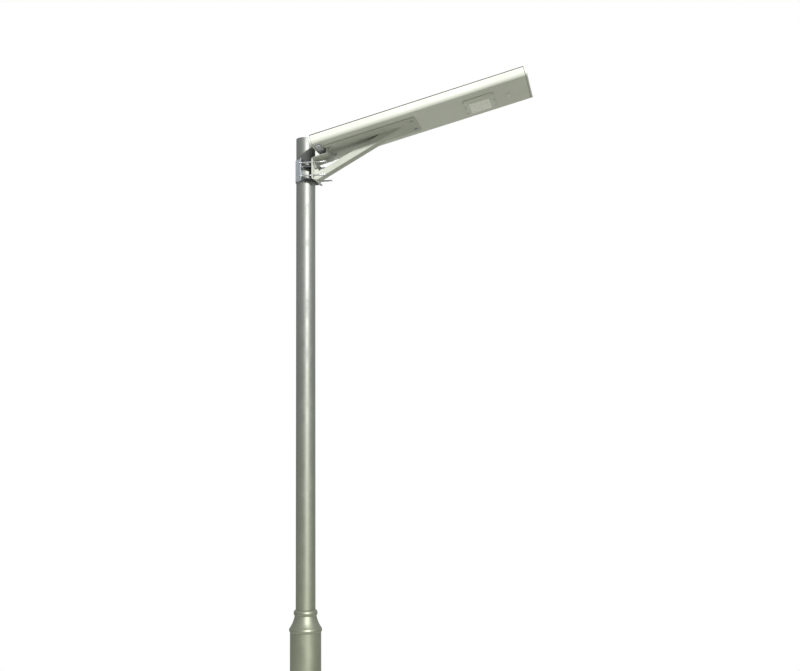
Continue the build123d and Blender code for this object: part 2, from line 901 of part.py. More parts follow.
# ---------------------------------------------------------------- light engine
pod_length = led_window_length + 2 * led_pod_wall
pod_width = led_window_width + 2 * led_pod_wall
gasket_low = -led_gasket_thickness
flange_low = gasket_low - led_flange_thickness
pod_low = -led_pod_depth
flange_length = pod_length + 2 * (led_pod_slope + led_flange)
flange_width = pod_width + 2 * (led_pod_slope + led_flange)
pedestal_low = -pedestal_drop
led_board_low = pedestal_low - led_board_thickness
chip_low = led_board_low - led_chip_height
led_places = [
    (led_centre + (i - (led_columns - 1) / 2) * led_pitch, (j - (led_rows - 1) / 2) * led_pitch)
    for i in range(led_columns)
    for j in range(led_rows)
]
bezel_screw_places = [
    (led_centre + side * (flange_length - led_flange) / 2, y)
    for side in (-1, 1)
    for y in (-flange_width / 2 + led_flange, 0, flange_width / 2 - led_flange)
]


def frustum(length, width, z_low, z_high, slope, radius):
    """A rounded block that widens upwards by slope on every side."""
    wider = RectangleRounded(length + 2 * slope, width + 2 * slope, radius + slope / 2)
    low = Pos(led_centre, 0, z_low) * RectangleRounded(length, width, radius)
    return loft([low, Pos(led_centre, 0, z_high) * wider])


def led_bezel():
    """Hollow sloped housing with a flange, that carries the lens."""
    outer = frustum(pod_length, pod_width, pod_low, flange_low, led_pod_slope, led_corner_r)
    outer += rounded_plate(
        led_centre, 0, flange_low, gasket_low, flange_length, flange_width, led_corner_r + led_pod_slope
    )
    inner_low = pod_low + lens_thickness
    grow = 2 * (lens_overlap + lens_fit)
    inner_length = led_window_length + grow
    inner_width = led_window_width + grow
    inner = frustum(inner_length, inner_width, inner_low, gasket_low, led_pod_slope / 2, led_corner_r)
    window = rounded_plate(
        led_centre, 0, pod_low, inner_low, led_window_length, led_window_width, led_corner_r
    )
    body = outer - inner - window
    for x, y in bezel_screw_places:
        body -= disc(x, y, flange_low, gasket_low, bezel_screw_r + lens_fit)
    return body


def led_lens():
    """Opal cover: a plug in the bezel's window with a wider rim inside it."""
    low = pod_low
    rim = pod_low + lens_thickness
    plug = rounded_plate(
        led_centre,
        0,
        low,
        rim,
        led_window_length - 2 * lens_fit,
        led_window_width - 2 * lens_fit,
        led_corner_r - lens_fit,
    )
    grow = 2 * lens_overlap
    return plug + rounded_plate(
        led_centre,
        0,
        rim,
        rim + lens_thickness,
        led_window_length + grow,
        led_window_width + grow,
        led_corner_r,
    )


def led_optics():
    """One small dome over each chip, on a thin carrier."""
    top = chip_low
    length = (led_columns - 1) * led_pitch + 2 * optic_r + 2
    width = (led_rows - 1) * led_pitch + 2 * optic_r + 2
    body = rounded_plate(led_centre, 0, top - optic_carrier, top, length, width, optic_r)
    dome_r = (optic_r**2 + optic_height**2) / (2 * optic_height)
    dome = Pos(0, 0, top - optic_carrier - optic_height + dome_r) * Sphere(dome_r)
    dome &= disc(0, 0, top - optic_carrier - optic_height - 1, top - optic_carrier, optic_r)
    return body + [Pos(x, y, 0) * dome for x, y in led_places]


def led_board():
    """Metal-core board on the heat sink's pedestal."""
    length = led_window_length + led_opening_inset - 2 * led_board_margin
    width = led_window_width + led_opening_inset - 2 * led_board_margin
    return rounded_plate(led_centre, 0, led_board_low, pedestal_low, length, width, 3)


def led_chips():
    """Twenty-four light-emitting chips under the board."""
    half = led_chip / 2
    return gather(
        block(x - half, x + half, y - half, y + half, chip_low, led_board_low) for x, y in led_places
    )


def led_heatsink():
    """Finned plate over the opening, with a pedestal through it."""
    length = led_window_length + led_opening_inset + 2 * heatsink_overlap
    width = led_window_width + led_opening_inset + 2 * heatsink_overlap
    top = floor_z + heatsink_plate
    body = rounded_plate(led_centre, 0, floor_z, top, length, width, led_corner_r)
    body += led_opening(pedestal_low, floor_z, -2 * pedestal_fit)
    span = width - 10
    for i in range(heatsink_fins):
        y = -span / 2 + span * i / (heatsink_fins - 1)
        half = heatsink_fin_thickness / 2
        x0 = led_centre - length / 2 + 6
        x1 = led_centre + length / 2 - 6
        body += block(x0, x1, y - half, y + half, top, top + heatsink_fin_height)
    for x, y in bezel_screw_places:
        body -= disc(x, y, floor_z, top, bezel_screw_r + nut_bore_gap)
    return body


def led_gasket():
    """Flat gasket between the bezel's flange and the shell."""
    ring = rounded_plate(
        led_centre, 0, gasket_low, 0, flange_length - 2, flange_width - 2, led_corner_r + led_pod_slope
    )
    ring -= led_opening(gasket_low, 0)
    for x, y in bezel_screw_places:
        ring -= disc(x, y, gasket_low, 0, bezel_screw_r + lens_fit)
    return ring


def led_bezel_screws():
    """Six screws through the bezel into the heat sink."""
    tip = floor_z + heatsink_plate
    return gather(
        disc(x, y, flange_low, tip, bezel_screw_r)
        + disc(x, y, flange_low - bezel_screw_head_height, flange_low, bezel_screw_head_r)
        for x, y in bezel_screw_places
    )


# ---------------------------------------------------------------- motion sensor
def pir_housing():
    """Flanged cup through the shell's floor."""
    cup = disc(pir_centre, 0, -pir_flange_thickness, pir_body_height, pir_body_r)
    cup += disc(pir_centre, 0, -pir_flange_thickness, 0, pir_flange_r)
    inner_r = pir_body_r - pir_wall
    return cup - disc(pir_centre, 0, -pir_flange_thickness, pir_body_height - pir_wall, inner_r)


def pir_lens():
    """Milky half-dome lens with a rim inside the cup."""
    rim_r = pir_body_r - pir_wall - lens_fit / 2
    outer = Pos(pir_centre, 0, -pir_flange_thickness) * Sphere(rim_r)
    outer &= disc(pir_centre, 0, -pir_flange_thickness - rim_r, -pir_flange_thickness, rim_r)
    outer += disc(pir_centre, 0, -pir_flange_thickness, -pir_flange_thickness + 2, rim_r)
    inner = Pos(pir_centre, 0, -pir_flange_thickness) * Sphere(rim_r - 1)
    return outer - inner - disc(pir_centre, 0, -pir_flange_thickness, 0, rim_r - 1)


def pir_board():
    """Sensor can on its small round board."""
    high = pir_body_height - pir_wall
    low = high - board_thickness
    board = disc(pir_centre, 0, low, high, pir_body_r - pir_wall - lens_fit)
    return board + disc(pir_centre, 0, low - pir_can_height, low, pir_can_r)


# ---------------------------------------------------------------- service cover and switch
cover_middle = cover_start + cover_length / 2
cover_screw_places = [(cover_middle, y) for y in (-cover_half_width + 9, 0, cover_half_width - 9)]


def service_cover():
    """Shallow moulded cover at the pole-side end of the underside."""
    width = 2 * cover_half_width
    body = rounded_plate(cover_middle, 0, -cover_depth, 0, cover_length, width, cover_corner_r)
    body = fillet(body.edges().group_by(Axis.Z)[0], cover_wall)
    body -= rounded_plate(
        cover_middle,
        0,
        cover_wall - cover_depth,
        0,
        cover_length - 2 * cover_wall,
        width - 2 * cover_wall,
        cover_corner_r - cover_wall,
    )
    for x, y in cover_screw_places:
        body += disc(x, y, cover_wall - cover_depth, 0, 5)
        body -= disc(x, y, -cover_depth, 0, bezel_screw_r + lens_fit)
    return body - disc(cover_middle, switch_y, -cover_depth, 0, switch_body_r + lens_fit)


def service_cover_screws():
    """Three pan-head screws in the service cover."""
    return gather(
        disc(x, y, -cover_depth, 0, bezel_screw_r)
        + disc(x, y, -cover_depth - bezel_screw_head_height, -cover_depth, bezel_screw_head_r)
        for x, y in cover_screw_places
    )


switch_low = -cover_depth - switch_bezel_height


def switch_body():
    """Panel switch: barrel, bezel and nut, bored for the button."""
    barrel = disc(cover_middle, switch_y, -cover_depth, switch_body_height - cover_depth, switch_body_r)
    barrel += disc(cover_middle, switch_y, switch_low, -cover_depth, switch_bezel_r)
    bore_top = switch_low + button_depth + button_travel
    return barrel - disc(cover_middle, switch_y, switch_low, bore_top, button_r + button_gap)


def power_button():
    """Round button that slides in the switch."""
    low = switch_low - button_proud
    body = disc(cover_middle, switch_y, low, switch_low + button_depth - 0.5, button_r)
    return fillet(body.edges().group_by(Axis.Z)[0], button_dome_r)


# ---------------------------------------------------------------- inner wiring
def pv_lead():
    """From the controller's far side up into the junction box."""
    z = floor_z + controller_height / 2 + lead_r
    top = laminate_z - junction_box_height
    x1 = junction_box_start + junction_box_length / 2
    route = [(controller_end, 0, z), (x1, 0, z), (x1, 0, top)]
    return lead(route, lead_r, 3 * lead_r)


def battery_lead():
    """From the protection board to the controller's side."""
    x0 = board_start + protection_board_length
    z = floor_z + 5 + board_thickness / 2
    route = [(x0, 20, z), (x0 + 10, 20, z), (x0 + 10, -20, z), (controller_start, -20, z)]
    return lead(route, lead_r / 2, lead_r)


def led_lead():
    """From the controller's far side to the heat sink."""
    z = floor_z + 10
    x1 = led_centre - (led_window_length + led_opening_inset) / 2 - heatsink_overlap
    side = controller_width / 2 + 20
    first = controller_end + 8
    return lead(
        [
            (controller_end, 30, z),
            (first, 30, z),
            (first + 10, side, z),
            (x1 - 60, side, z),
            (x1 - 20, 30, z - 8),
            (x1, 30, z - 8),
        ],
        lead_r,
        4,
    )


def sensor_lead():
    """From the motion sensor round the heat sink to the controller."""
    z = floor_z + 10
    side = half_head - 34
    first = controller_end + 8
    last = pir_centre - pir_body_r
    past = led_centre + (led_window_length + led_opening_inset) / 2 + heatsink_overlap + 4
    return lead(
        [
            (controller_end, -30, z),
            (first, -30, z),
            (first + 20, -side, z),
            (past, -side, z),
            (last - 12, 0, z),
            (last, 0, z),
        ],
        lead_r / 2,
        4,
    )


# ---------------------------------------------------------------- write the sub-parts
save("base_flange", base_flange())
save("base_ribs", base_ribs())
save("lower_tube", tube(flange_thickness, lower_tube_top, lower_tube_r, lower_tube_wall))
save("upper_tube", tube(upper_tube_bottom, upper_tube_top, upper_tube_r, upper_tube_wall))
save("centering_rings", centering_rings())
save("transition_collar", transition_collar())
save("collar_screws", collar_screws())
save("pole_cap", pole_cap())

front = front_plate()
save("clamp_liner", clamp_liner())
save("clamp_rear_saddle", rear_saddle())
save("clamp_rods", rods())
save("clamp_rear_washers", washer_row(-rear_flange_setback - rear_flange_thickness - washer_thickness))
save("clamp_front_washers", washer_row(front_plate_x + sheet))
save("clamp_nuts", nuts())
save("clamp_front_plate", front)
save("clamp_cleats", cleats(front))

save("bracket_top_plate", top_plate())
save("bracket_strut", strut())
save("bracket_gussets", gussets())
save_head("bracket_bolts", bracket_bolts())
save_head("bracket_washers", bracket_washers())
save_head("backing_bars", backing_bars())

save_head("body_shell", body_shell())
save_head("end_cap_pole_side", end_cap(0, -1))
save_head("end_cap_far_side", end_cap(head_length - end_cap_thickness, 1))
save_head("end_gasket_pole_side", end_gasket(end_cap_thickness))
save_head("end_gasket_far_side", end_gasket(shell_end))
save_head("end_cap_screws", end_cap_screws())

save_head("pv_edge_seal", pv_seal())
save_head("pv_backsheet", flat(laminate_z, cells_z, laminate_length, laminate_width))
save_head("pv_cells", pv_cells())
save_head("pv_glass", flat(glass_z, head_thickness, laminate_length, laminate_width))
save_head("pv_junction_box", junction_box())

save_head("battery_tray", battery_tray())
save_head("battery_cells", battery_cells())
save_head("battery_links", battery_links())
save_head("battery_straps", battery_straps())
save_head("battery_protection_board", protection_board())
save_head("controller_case", controller_case())
save_head("controller_cover", controller_cover())
save_head("controller_board", controller_board())

save_head("led_heatsink", led_heatsink())
save_head("led_board", led_board())
save_head("led_chips", led_chips())
save_head("led_optics", led_optics())
save_head("led_lens", led_lens())
save_head("led_gasket", led_gasket())
save_head("led_bezel", led_bezel())
save_head("led_bezel_screws", led_bezel_screws())

save_head("pir_housing", pir_housing())
save_head("pir_lens", pir_lens())
save_head("pir_board", pir_board())

save_head("service_cover", service_cover())
save_head("service_cover_screws", service_cover_screws())
save_head("switch_body", switch_body())
save_head("power_button", power_button())

save_head("pv_lead", pv_lead())
save_head("battery_lead", battery_lead())
save_head("led_lead", led_lead())
save_head("sensor_lead", sensor_lead())
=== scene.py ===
"""Looks for the solar street lamp: pole, clamp, bracket and lamp head, in metres."""
import json
from math import cos, pi, radians, sin, sqrt, tan

import bpy
import numpy as np
from mathutils import Matrix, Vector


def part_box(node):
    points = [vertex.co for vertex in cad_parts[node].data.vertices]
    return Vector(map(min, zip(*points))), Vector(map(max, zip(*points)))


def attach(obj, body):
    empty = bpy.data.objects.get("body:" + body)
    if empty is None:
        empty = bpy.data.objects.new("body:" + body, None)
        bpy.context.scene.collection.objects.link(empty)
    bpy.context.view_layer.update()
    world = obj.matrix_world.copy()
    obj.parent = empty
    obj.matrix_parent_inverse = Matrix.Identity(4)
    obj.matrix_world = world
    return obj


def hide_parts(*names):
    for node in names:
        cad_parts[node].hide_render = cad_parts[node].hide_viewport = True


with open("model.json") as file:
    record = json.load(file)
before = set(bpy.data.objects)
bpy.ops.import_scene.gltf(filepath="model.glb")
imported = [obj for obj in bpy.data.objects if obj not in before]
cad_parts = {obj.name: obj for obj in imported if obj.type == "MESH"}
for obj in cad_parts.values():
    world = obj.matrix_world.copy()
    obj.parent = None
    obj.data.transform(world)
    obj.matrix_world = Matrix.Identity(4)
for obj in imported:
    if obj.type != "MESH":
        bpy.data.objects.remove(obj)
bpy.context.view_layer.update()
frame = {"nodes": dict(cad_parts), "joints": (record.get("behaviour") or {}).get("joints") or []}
MM = 0.001


# ------------ places
def unit(vector):
    """The vector at length one."""
    vector = np.asarray(vector, float)
    return vector / np.linalg.norm(vector)


def place(origin, x, y):
    """A right-handed place: an origin and three axes, the third being x cross y."""
    x, y = unit(x), unit(y)
    return np.asarray(origin, float), np.array([x, y, np.cross(x, y)])


def put(points, where):
    """Points given in a place's own axes, moved to the lamp's frame."""
    origin, axes = where
    return origin + np.asarray(points, float) @ axes


def inside(where, origin, x=(1, 0, 0), y=(0, 1, 0)):
    """A place given in another place's axes."""
    axes = where[1]
    return place(put(origin, where), np.asarray(x, float) @ axes, np.asarray(y, float) @ axes)


def node_points(node):
    """A CAD node's vertices, as an array."""
    mesh = frame["nodes"][node].data
    points = np.empty(len(mesh.vertices) * 3, np.float32)
    mesh.vertices.foreach_get("co", points)
    return points.reshape(-1, 3).astype(float)


def span(node, where):
    """Lowest and highest corners of a CAD node, measured in a place's own axes."""
    origin, axes = where
    local = (node_points(node) - origin) @ axes.T
    return local.min(0), local.max(0)


ROW = place((0, 0, 0), (1, 0, 0), (0, 1, 0))
press = next(j for j in frame["joints"] if j["name"] == "power_press")["axis"]
TILT = np.arctan2(-press[0], press[2])
ALONG = (cos(TILT), 0, sin(TILT))
flat_head = place((0, 0, 0), ALONG, (0, 1, 0))
cap_low, cap_high = span("end_cap_pole_side", flat_head)
HEAD = place(put((cap_low[0], 0, cap_low[2]), flat_head), ALONG, (0, 1, 0))
far_low, far_high = span("end_cap_far_side", HEAD)
HEAD_LENGTH = far_high[0]
HEAD_WIDTH = 2 * far_high[1]
HEAD_THICKNESS = far_high[2]
SIDE = place((0, 0, 0), (1, 0, 0), (0, 0, 1))          # outlines in x, z, carried across
HEAD_ENDWAYS = inside(HEAD, (0, 0, 0), (0, 1, 0), (0, 0, 1))   # outlines in y, z, carried along
UNDER = inside(HEAD, (0, 0, 0), (1, 0, 0), (0, -1, 0))  # x along, third axis down from the underside


# ------------ outlines
def arc(centre, radius, start, end, count):
    """Points on a circle between two angles in degrees."""
    turn = np.radians(np.linspace(start, end, count))
    return np.stack([centre[0] + radius * np.cos(turn), centre[1] + radius * np.sin(turn)], 1)


def rounded_rectangle(length, width, radius, count=8):
    """A rectangle about the origin whose four corners are quarter circles."""
    x, y = length / 2 - radius, width / 2 - radius
    corners = [((x, y), 0), ((-x, y), 90), ((-x, -y), 180), ((x, -y), 270)]
    return np.concatenate([arc(c, radius, a, a + 90, count) for c, a in corners])


def full_turn(count):
    """Evenly spaced angles once round a circle."""
    return np.arange(count) * 2 * pi / count


def soften(points, radii, count=6):
    """A polygon whose corners are arcs tangent to both sides, one radius for each corner."""
    points = np.asarray(points, float)
    before = np.roll(points, 1, 0) - points
    after = np.roll(points, -1, 0) - points
    pieces = []
    for corner, a, b, radius in zip(points, before, after, radii):
        a, b = unit(a), unit(b)
        half = np.arccos(np.clip(a @ b, -1, 1)) / 2
        if radius <= 0 or abs(half - pi / 2) < 1e-3:
            pieces.append(corner[None])
            continue
        reach = radius / np.tan(half)
        centre = corner + unit(a + b) * radius / np.sin(half)
        start = corner + a * reach - centre
        end = corner + b * reach - centre
        share = np.linspace(0, 1, count)[:, None]
        sweep = start * (1 - share) + end * share
        pieces.append(centre + sweep / np.linalg.norm(sweep, axis=1)[:, None] * radius)
    return np.concatenate(pieces)


def strip(path, thickness):
    """The outline of a bent sheet: its centre line moved half a thickness to either side."""
    path = np.asarray(path, float)
    step = np.diff(path, axis=0)
    step /= np.linalg.norm(step, axis=1)[:, None]
    normal = np.stack([-step[:, 1], step[:, 0]], 1)
    ends = np.concatenate([normal[:1], normal, normal[-1:]])
    miter = ends[:-1] + ends[1:]
    miter /= (1 + np.sum(ends[:-1] * ends[1:], 1))[:, None]
    return np.concatenate([path + miter * thickness / 2, (path - miter * thickness / 2)[::-1]])


def bend_path(points, radii, count=8):
    """An open path whose inner corners are tangent arcs."""
    return soften(points, [0, *radii, 0], count)


def denser(outline, extra):
    """The outline with extra points spread evenly along each side between two corner arcs."""
    count = len(outline)
    gaps = [k + np.linspace(0, 1, extra + 2)[1:-1] for k in range(count // 4 - 1, count, count // 4)]
    index = np.sort(np.concatenate([np.arange(count), *gaps]))
    closed = np.concatenate([outline, outline[:1]])
    return np.stack([np.interp(index, np.arange(count + 1), axis) for axis in closed.T], 1)


def arc_through(first, middle, last, count):
    """Points on the circle through three given points, from the first to the last."""
    first, middle, last = (np.asarray(point, float) for point in (first, middle, last))
    system = 2 * np.array([middle - first, last - first])
    centre = np.linalg.solve(system, [middle @ middle - first @ first, last @ last - first @ first])
    radius = np.linalg.norm(first - centre)
    angles = np.unwrap([np.arctan2(*(point - centre)[::-1]) for point in (first, middle, last)])
    return arc(centre, radius, np.degrees(angles[0]), np.degrees(angles[2]), count)


def counter_clockwise(outline):
    """The outline, turned round if it runs clockwise."""
    x, y = outline.T
    area = np.sum(x * np.roll(y, -1) - y * np.roll(x, -1))
    return outline if area > 0 else outline[::-1]


# ------------ surfaces, as rings of points
def lifted(outline, height):
    """A flat outline's points at one height."""
    return np.column_stack([outline, np.full(len(outline), height)])


def skin(outline, profile, where=ROW):
    """Rings: the outline moved outwards by a profile's first value and lifted to its second."""
    outline = counter_clockwise(np.asarray(outline, float))
    edge = np.roll(outline, -1, 0) - outline
    edge /= np.maximum(np.linalg.norm(edge, axis=1), 1e-12)[:, None]
    normal = np.stack([edge[:, 1], -edge[:, 0]], 1)
    last = np.roll(normal, 1, 0)
    miter = (normal + last) / np.maximum(1 + np.sum(normal * last, 1), 0.2)[:, None]
    profile = np.asarray(profile, float)
    flat = outline[None] + profile[:, :1, None] * miter[None]
    height = np.broadcast_to(profile[:, 1][:, None, None], flat.shape[:2] + (1,))
    return put(np.concatenate([flat, height], 2), where)


def eased(low, high, radius, steps=4):
    """A slab's profile: straight sides whose edges are quarter circles."""
    turn = np.linspace(0, pi / 2, steps)
    inset = radius * (1 - np.sin(turn))
    rise = radius * (1 - np.cos(turn))
    start = np.stack([-inset, low + rise], 1)
    end = np.stack([-inset[::-1], high - rise[::-1]], 1)
    return np.concatenate([start, end])


def slab(outline, low, high, radius=0.5 * MM, where=ROW):
    """A plate with eased edges."""
    return skin(outline, eased(low, high, radius), where)


def turned(radius, turn, height, where):
    """Rings about the place's third axis: a radius for each height and angle."""
    rings = [radius * np.cos(turn), radius * np.sin(turn), np.repeat(height[:, None], len(turn), 1)]
    return put(np.stack(rings, 2), where)


def lathe(profile, where=ROW, count=64):
    """Rings: radius and height pairs turned about the place's third axis."""
    radius, height = np.asarray(profile, float).T
    return turned(radius[:, None], full_turn(count), height, where)


def round_solid(radius, low, high, ease, where=ROW, count=48):
    """A cylinder with eased edges."""
    profile = eased(low, high, ease)
    profile[:, 0] += radius
    return lathe(profile, where, count)


def hexagon_radius(turn, flats):
    """Distance from the axis to a hexagon's side, for a half-width across its flats."""
    return flats / np.cos((turn % (pi / 3)) - pi / 6)


def hexagon(flats, low, high, where, chamfer=0.12, bore=0.0, count=72):
    """Hexagonal head or nut: the hexagon's radius, cut down near its ends by a cone."""
    turn = full_turn(count)
    side = hexagon_radius(turn, flats)
    depth = chamfer * flats * 2
    level = np.array([0.0, 0.35, 1.0])
    height = np.concatenate([low + depth * level, high - depth * level[::-1]])
    limit = flats * 1.155 - (flats * 0.19) * np.concatenate([1 - level, 1 - level[::-1]]) ** 1.5
    radius = np.minimum(side[None], limit[:, None])
    if bore:
        radius = np.concatenate([radius, np.full((2, count), bore)])
        height = np.concatenate([height, [high, low]])
    return turned(radius, turn, height, where)


def ring_solid(inner, outer, low, high, ease, where=ROW, count=48):
    """A flat ring or tube: a closed profile turned about the axis."""
    profile = [
        (inner, low), (outer - ease, low), (outer, low + ease),
        (outer, high - ease), (outer - ease, high), (inner, high),
    ]
    return lathe(profile, where, count)


def washer(outer, low, high, where):
    """A flat ring round a rod or bolt, with lightly eased edges."""
    return ring_solid(ROD_BORE, outer, low, high, min(0.25 * MM, (high - low) / 4), where)


def thread(radius, low, high, pitch, depth, where, count=24, rows_each=4):
    """Screw thread: the radius falls by a triangle wave of height over pitch minus turn."""
    rows = max(8, int((high - low) / pitch * rows_each))
    turn = full_turn(count)
    height = np.linspace(low, high, rows)
    wave = np.abs(((height[:, None] / pitch - turn[None] / (2 * pi)) % 1) * 2 - 1)
    ends = np.clip(np.minimum(height - low, high - height) / pitch, 0, 1)[:, None]
    size = radius - depth * wave * ends - depth * (1 - ends)
    return turned(size, turn, height, where)


def tube(points, radius, count=12):
    """Rings round a path: circles square to the path's own direction at each point."""
    points = np.asarray(points, float)
    ahead = np.gradient(points, axis=0)
    ahead /= np.linalg.norm(ahead, axis=1)[:, None]
    helper = np.array([0, 0, 1.0]) if abs(ahead[0][2]) < 0.9 else np.array([1.0, 0, 0])
    side = np.cross(ahead, helper)
    side /= np.linalg.norm(side, axis=1)[:, None]
    up = np.cross(ahead, side)
    turn = full_turn(count)
    size = np.broadcast_to(np.asarray(radius, float), (len(points),))[:, None, None]
    circle = np.cos(turn)[None, :, None] * side[:, None] + np.sin(turn)[None, :, None] * up[:, None]
    return points[:, None] + size * circle


def bead(start, end, radius=2.2 * MM, ripple=1.6 * MM):
    """A weld bead: a thin tube whose radius swells with each ripple and closes at its ends."""
    start, end = np.asarray(start, float), np.asarray(end, float)
    length = np.linalg.norm(end - start)
    share = np.linspace(0, 1, max(8, int(length / ripple * 3)))
    wave = 1 + 0.10 * np.abs(np.sin(share * length / ripple * pi))
    taper = np.sqrt(np.clip(np.minimum(share, 1 - share) * length / (2 * radius), 0.02, 1))
    return tube(start + share[:, None] * (end - start), radius * wave * taper, 8)


def socket_head(radius, height, where, socket=0.5):
    """A domed screw head with a hexagonal socket: rings from the socket's floor to the rim."""
    count = 36
    turn = full_turn(count)
    key = hexagon_radius(turn, radius * socket * 0.8)
    dome = np.linspace(radius * socket * 1.15, radius, 6)
    radii = [key * 0.2, key, key, *[np.full(count, r) for r in dome], np.full(count, radius)]
    top = height * (1 - 0.45 * (dome / radius) ** 3)
    levels = [height * 0.35, height * 0.35, height * 0.97, *top, 0.0]
    return turned(np.array(radii)[::-1], turn, np.array(levels)[::-1], where)


# ------------ meshes
def ring_faces(rows, count, first, closed):
    """Quads between neighbouring rings, with n-gon ends unless the rings close on themselves."""
    row = np.arange(rows if closed else rows - 1)
    column = np.arange(count)
    a, b = np.meshgrid(row, column, indexing="ij")
    next_a, next_b = (a + 1) % rows, (b + 1) % count
    corners = [a * count + b, a * count + next_b, next_a * count + next_b, next_a * count + b]
    quads = first + np.stack(corners, 2)
    faces = quads.reshape(-1, 4).tolist()
    if not closed:
        faces.append((first + column[::-1]).tolist())
        faces.append((first + (rows - 1) * count + column).tolist())
    return faces


def add_object(name, data):
    """A new object in the scene."""
    made = bpy.data.objects.new(name, data)
    bpy.context.scene.collection.objects.link(made)
    return made


def piece(name, solids, material, body, slot, replaces=(), closed=False, sharp=34):
    """One object from rings of points. Every solid is closed: wrapped, or capped at both ends."""
    points, faces, first = [], [], 0
    for rings in solids:
        rows, count = rings.shape[:2]
        points.append(rings.reshape(-1, 3))
        faces += ring_faces(rows, count, first, closed)
        first += rows * count
    mesh = bpy.data.meshes.new(name)
    mesh.from_pydata(np.concatenate(points).tolist(), [], faces)
    mesh.polygons.foreach_set("use_smooth", np.ones(len(faces), bool))
    mesh.set_sharp_from_angle(angle=radians(sharp))
    mesh.materials.append(material)
    made = add_object(name, mesh)
    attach(made, body)
    if replaces:
        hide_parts(*replaces)
    return made


def on_head(name, solids, material, slot, *nodes, **how):
    """A piece that rides on the lamp head."""
    return piece(name, solids, material, "lamp_head", slot, nodes, **how)


def dress(node, material):
    """Give a CAD node a better material."""
    for holder in frame["nodes"][node].material_slots:
        holder.material = material


# ------------ materials
class Finish:
    """A material with a Principled shader and short ways to add textures to it."""

    def __init__(self, name, **settings):
        self.material = bpy.data.materials.new(name)
        self.material.use_nodes = True
        self.tree = self.material.node_tree
        self.shader = self.tree.nodes["Principled BSDF"]
        self.position = self.tree.nodes.new("ShaderNodeTexCoord").outputs["Object"]
        for socket, value in settings.items():
            self.shader.inputs[socket.replace("_", " ")].default_value = value

    def feed(self, target, value):
        """Link a socket to another one, or give it a value."""
        if isinstance(value, bpy.types.NodeSocket):
            self.tree.links.new(value, target)
        else:
            target.default_value = value

    def add(self, kind, **inputs):
        """A new node, with values or links for its inputs."""
        node = self.tree.nodes.new(kind)
        for socket, value in inputs.items():
            self.feed(node.inputs[socket.replace("_", " ")], value)
        return node

    def stretched(self, x, y, z, turn=0.0):
        """Object coordinates scaled along each axis, after a turn about Y."""
        node = self.add("ShaderNodeMapping", Vector=self.position, Scale=(x, y, z), Rotation=(0, turn, 0))
        return node.outputs["Vector"]

    def noise(self, scale, detail=3.0, rough=0.55, vector=None):
        """Fractal noise, from 0 to 1."""
        vector = vector or self.position
        node = self.add("ShaderNodeTexNoise", Vector=vector, Scale=scale, Detail=detail, Roughness=rough)
        return node.outputs["Fac"]

    def ramp(self, factor, *stops):
        """A colour ramp from place and colour pairs."""
        node = self.add("ShaderNodeValToRGB", Fac=factor)
        elements = node.color_ramp.elements
        while len(elements) < len(stops):
            elements.new(0.5)
        for element, (at, colour) in zip(elements, stops):
            element.position = at
            element.color = (*colour, 1)
        return node.outputs["Color"]

    def blend(self, factor, a, b, kind="MIX"):
        """Two colours mixed by a factor."""
        node = self.tree.nodes.new("ShaderNodeMix")
        node.data_type = "RGBA"
        node.blend_type = kind
        for socket, value in (("Factor", factor), (6, a), (7, b)):
            self.feed(node.inputs[socket], value)
        return node.outputs[2]

    def between(self, factor, low, high, out_low, out_high):
        """A value mapped from one range to another."""
        limits = {"From_Min": low, "From_Max": high, "To_Min": out_low, "To_Max": out_high}
        return self.add("ShaderNodeMapRange", Value=factor, **limits).outputs["Result"]

    def two_tone(self, factor, deep, light):
        """A colour that drifts between two tones."""
        return self.ramp(factor, (0.3, deep), (0.7, light))

    def colour(self, source):
        self.tree.links.new(source, self.shader.inputs["Base Color"])

    def roughness(self, source):
        self.tree.links.new(source, self.shader.inputs["Roughness"])

    def gloss(self, factor, low, high):
        """Roughness that follows the middle of a texture's range."""
        self.roughness(self.between(factor, 0.3, 0.7, low, high))

    def bump(self, *layers):
        """Bump from height, strength and distance triples, each over the last."""
        normal = None
        for height, strength, distance in layers:
            node = self.add("ShaderNodeBump", Height=height, Strength=strength, Distance=distance)
            if normal:
                self.tree.links.new(normal, node.inputs["Normal"])
            normal = node.outputs["Normal"]
        self.tree.links.new(normal, self.shader.inputs["Normal"])


def paint(name, deep, light, rough, streaks=None, grain=0.05, coat=0.0, metallic=0.0, ground_reflection_tint=None):
    """Powder coat: soft colour drift, faint dust, orange-peel bump and uneven gloss.

    A painted reflection of the green ground: a tint multiplies the colour near the ground and fades out 2.2
    metres up.
    """
    finish = Finish(name, Metallic=metallic, Coat_Weight=coat, Coat_Roughness=0.18)
    drift = finish.noise(3.5, 4.0)
    base = finish.two_tone(drift, deep, light)
    if streaks:
        wash = finish.noise(1.0, 5.0, 0.6, finish.stretched(*streaks))
        dust = tuple(c * 0.80 for c in deep)
        base = finish.blend(finish.between(wash, 0.52, 0.74, 0.0, 0.45), base, (*dust, 1))
    speck = finish.noise(260.0, 2.0, 0.6)
    base = finish.blend(finish.between(speck, 0.66, 0.76, 0.0, 0.30), base, (*[c * 0.72 for c in deep], 1))
    # painted reflection: the colour is tinted olive near the ground, as the green ground would reflect
    # there
    if ground_reflection_tint:
        height = finish.add("ShaderNodeSeparateXYZ", Vector=finish.position).outputs["Z"]
        base = finish.blend(finish.between(height, 0.6, 2.2, 1.0, 0.0), base, (*ground_reflection_tint, 1), "MULTIPLY")
    finish.colour(base)
    finish.gloss(finish.noise(18.0, 4.0), rough - 0.06, rough + 0.08)
    peel = finish.noise(420.0, 2.0, 0.5)
    finish.bump((finish.noise(6.0, 2.0), 0.12, 0.004), (peel, grain, 0.0006))
    return finish.material


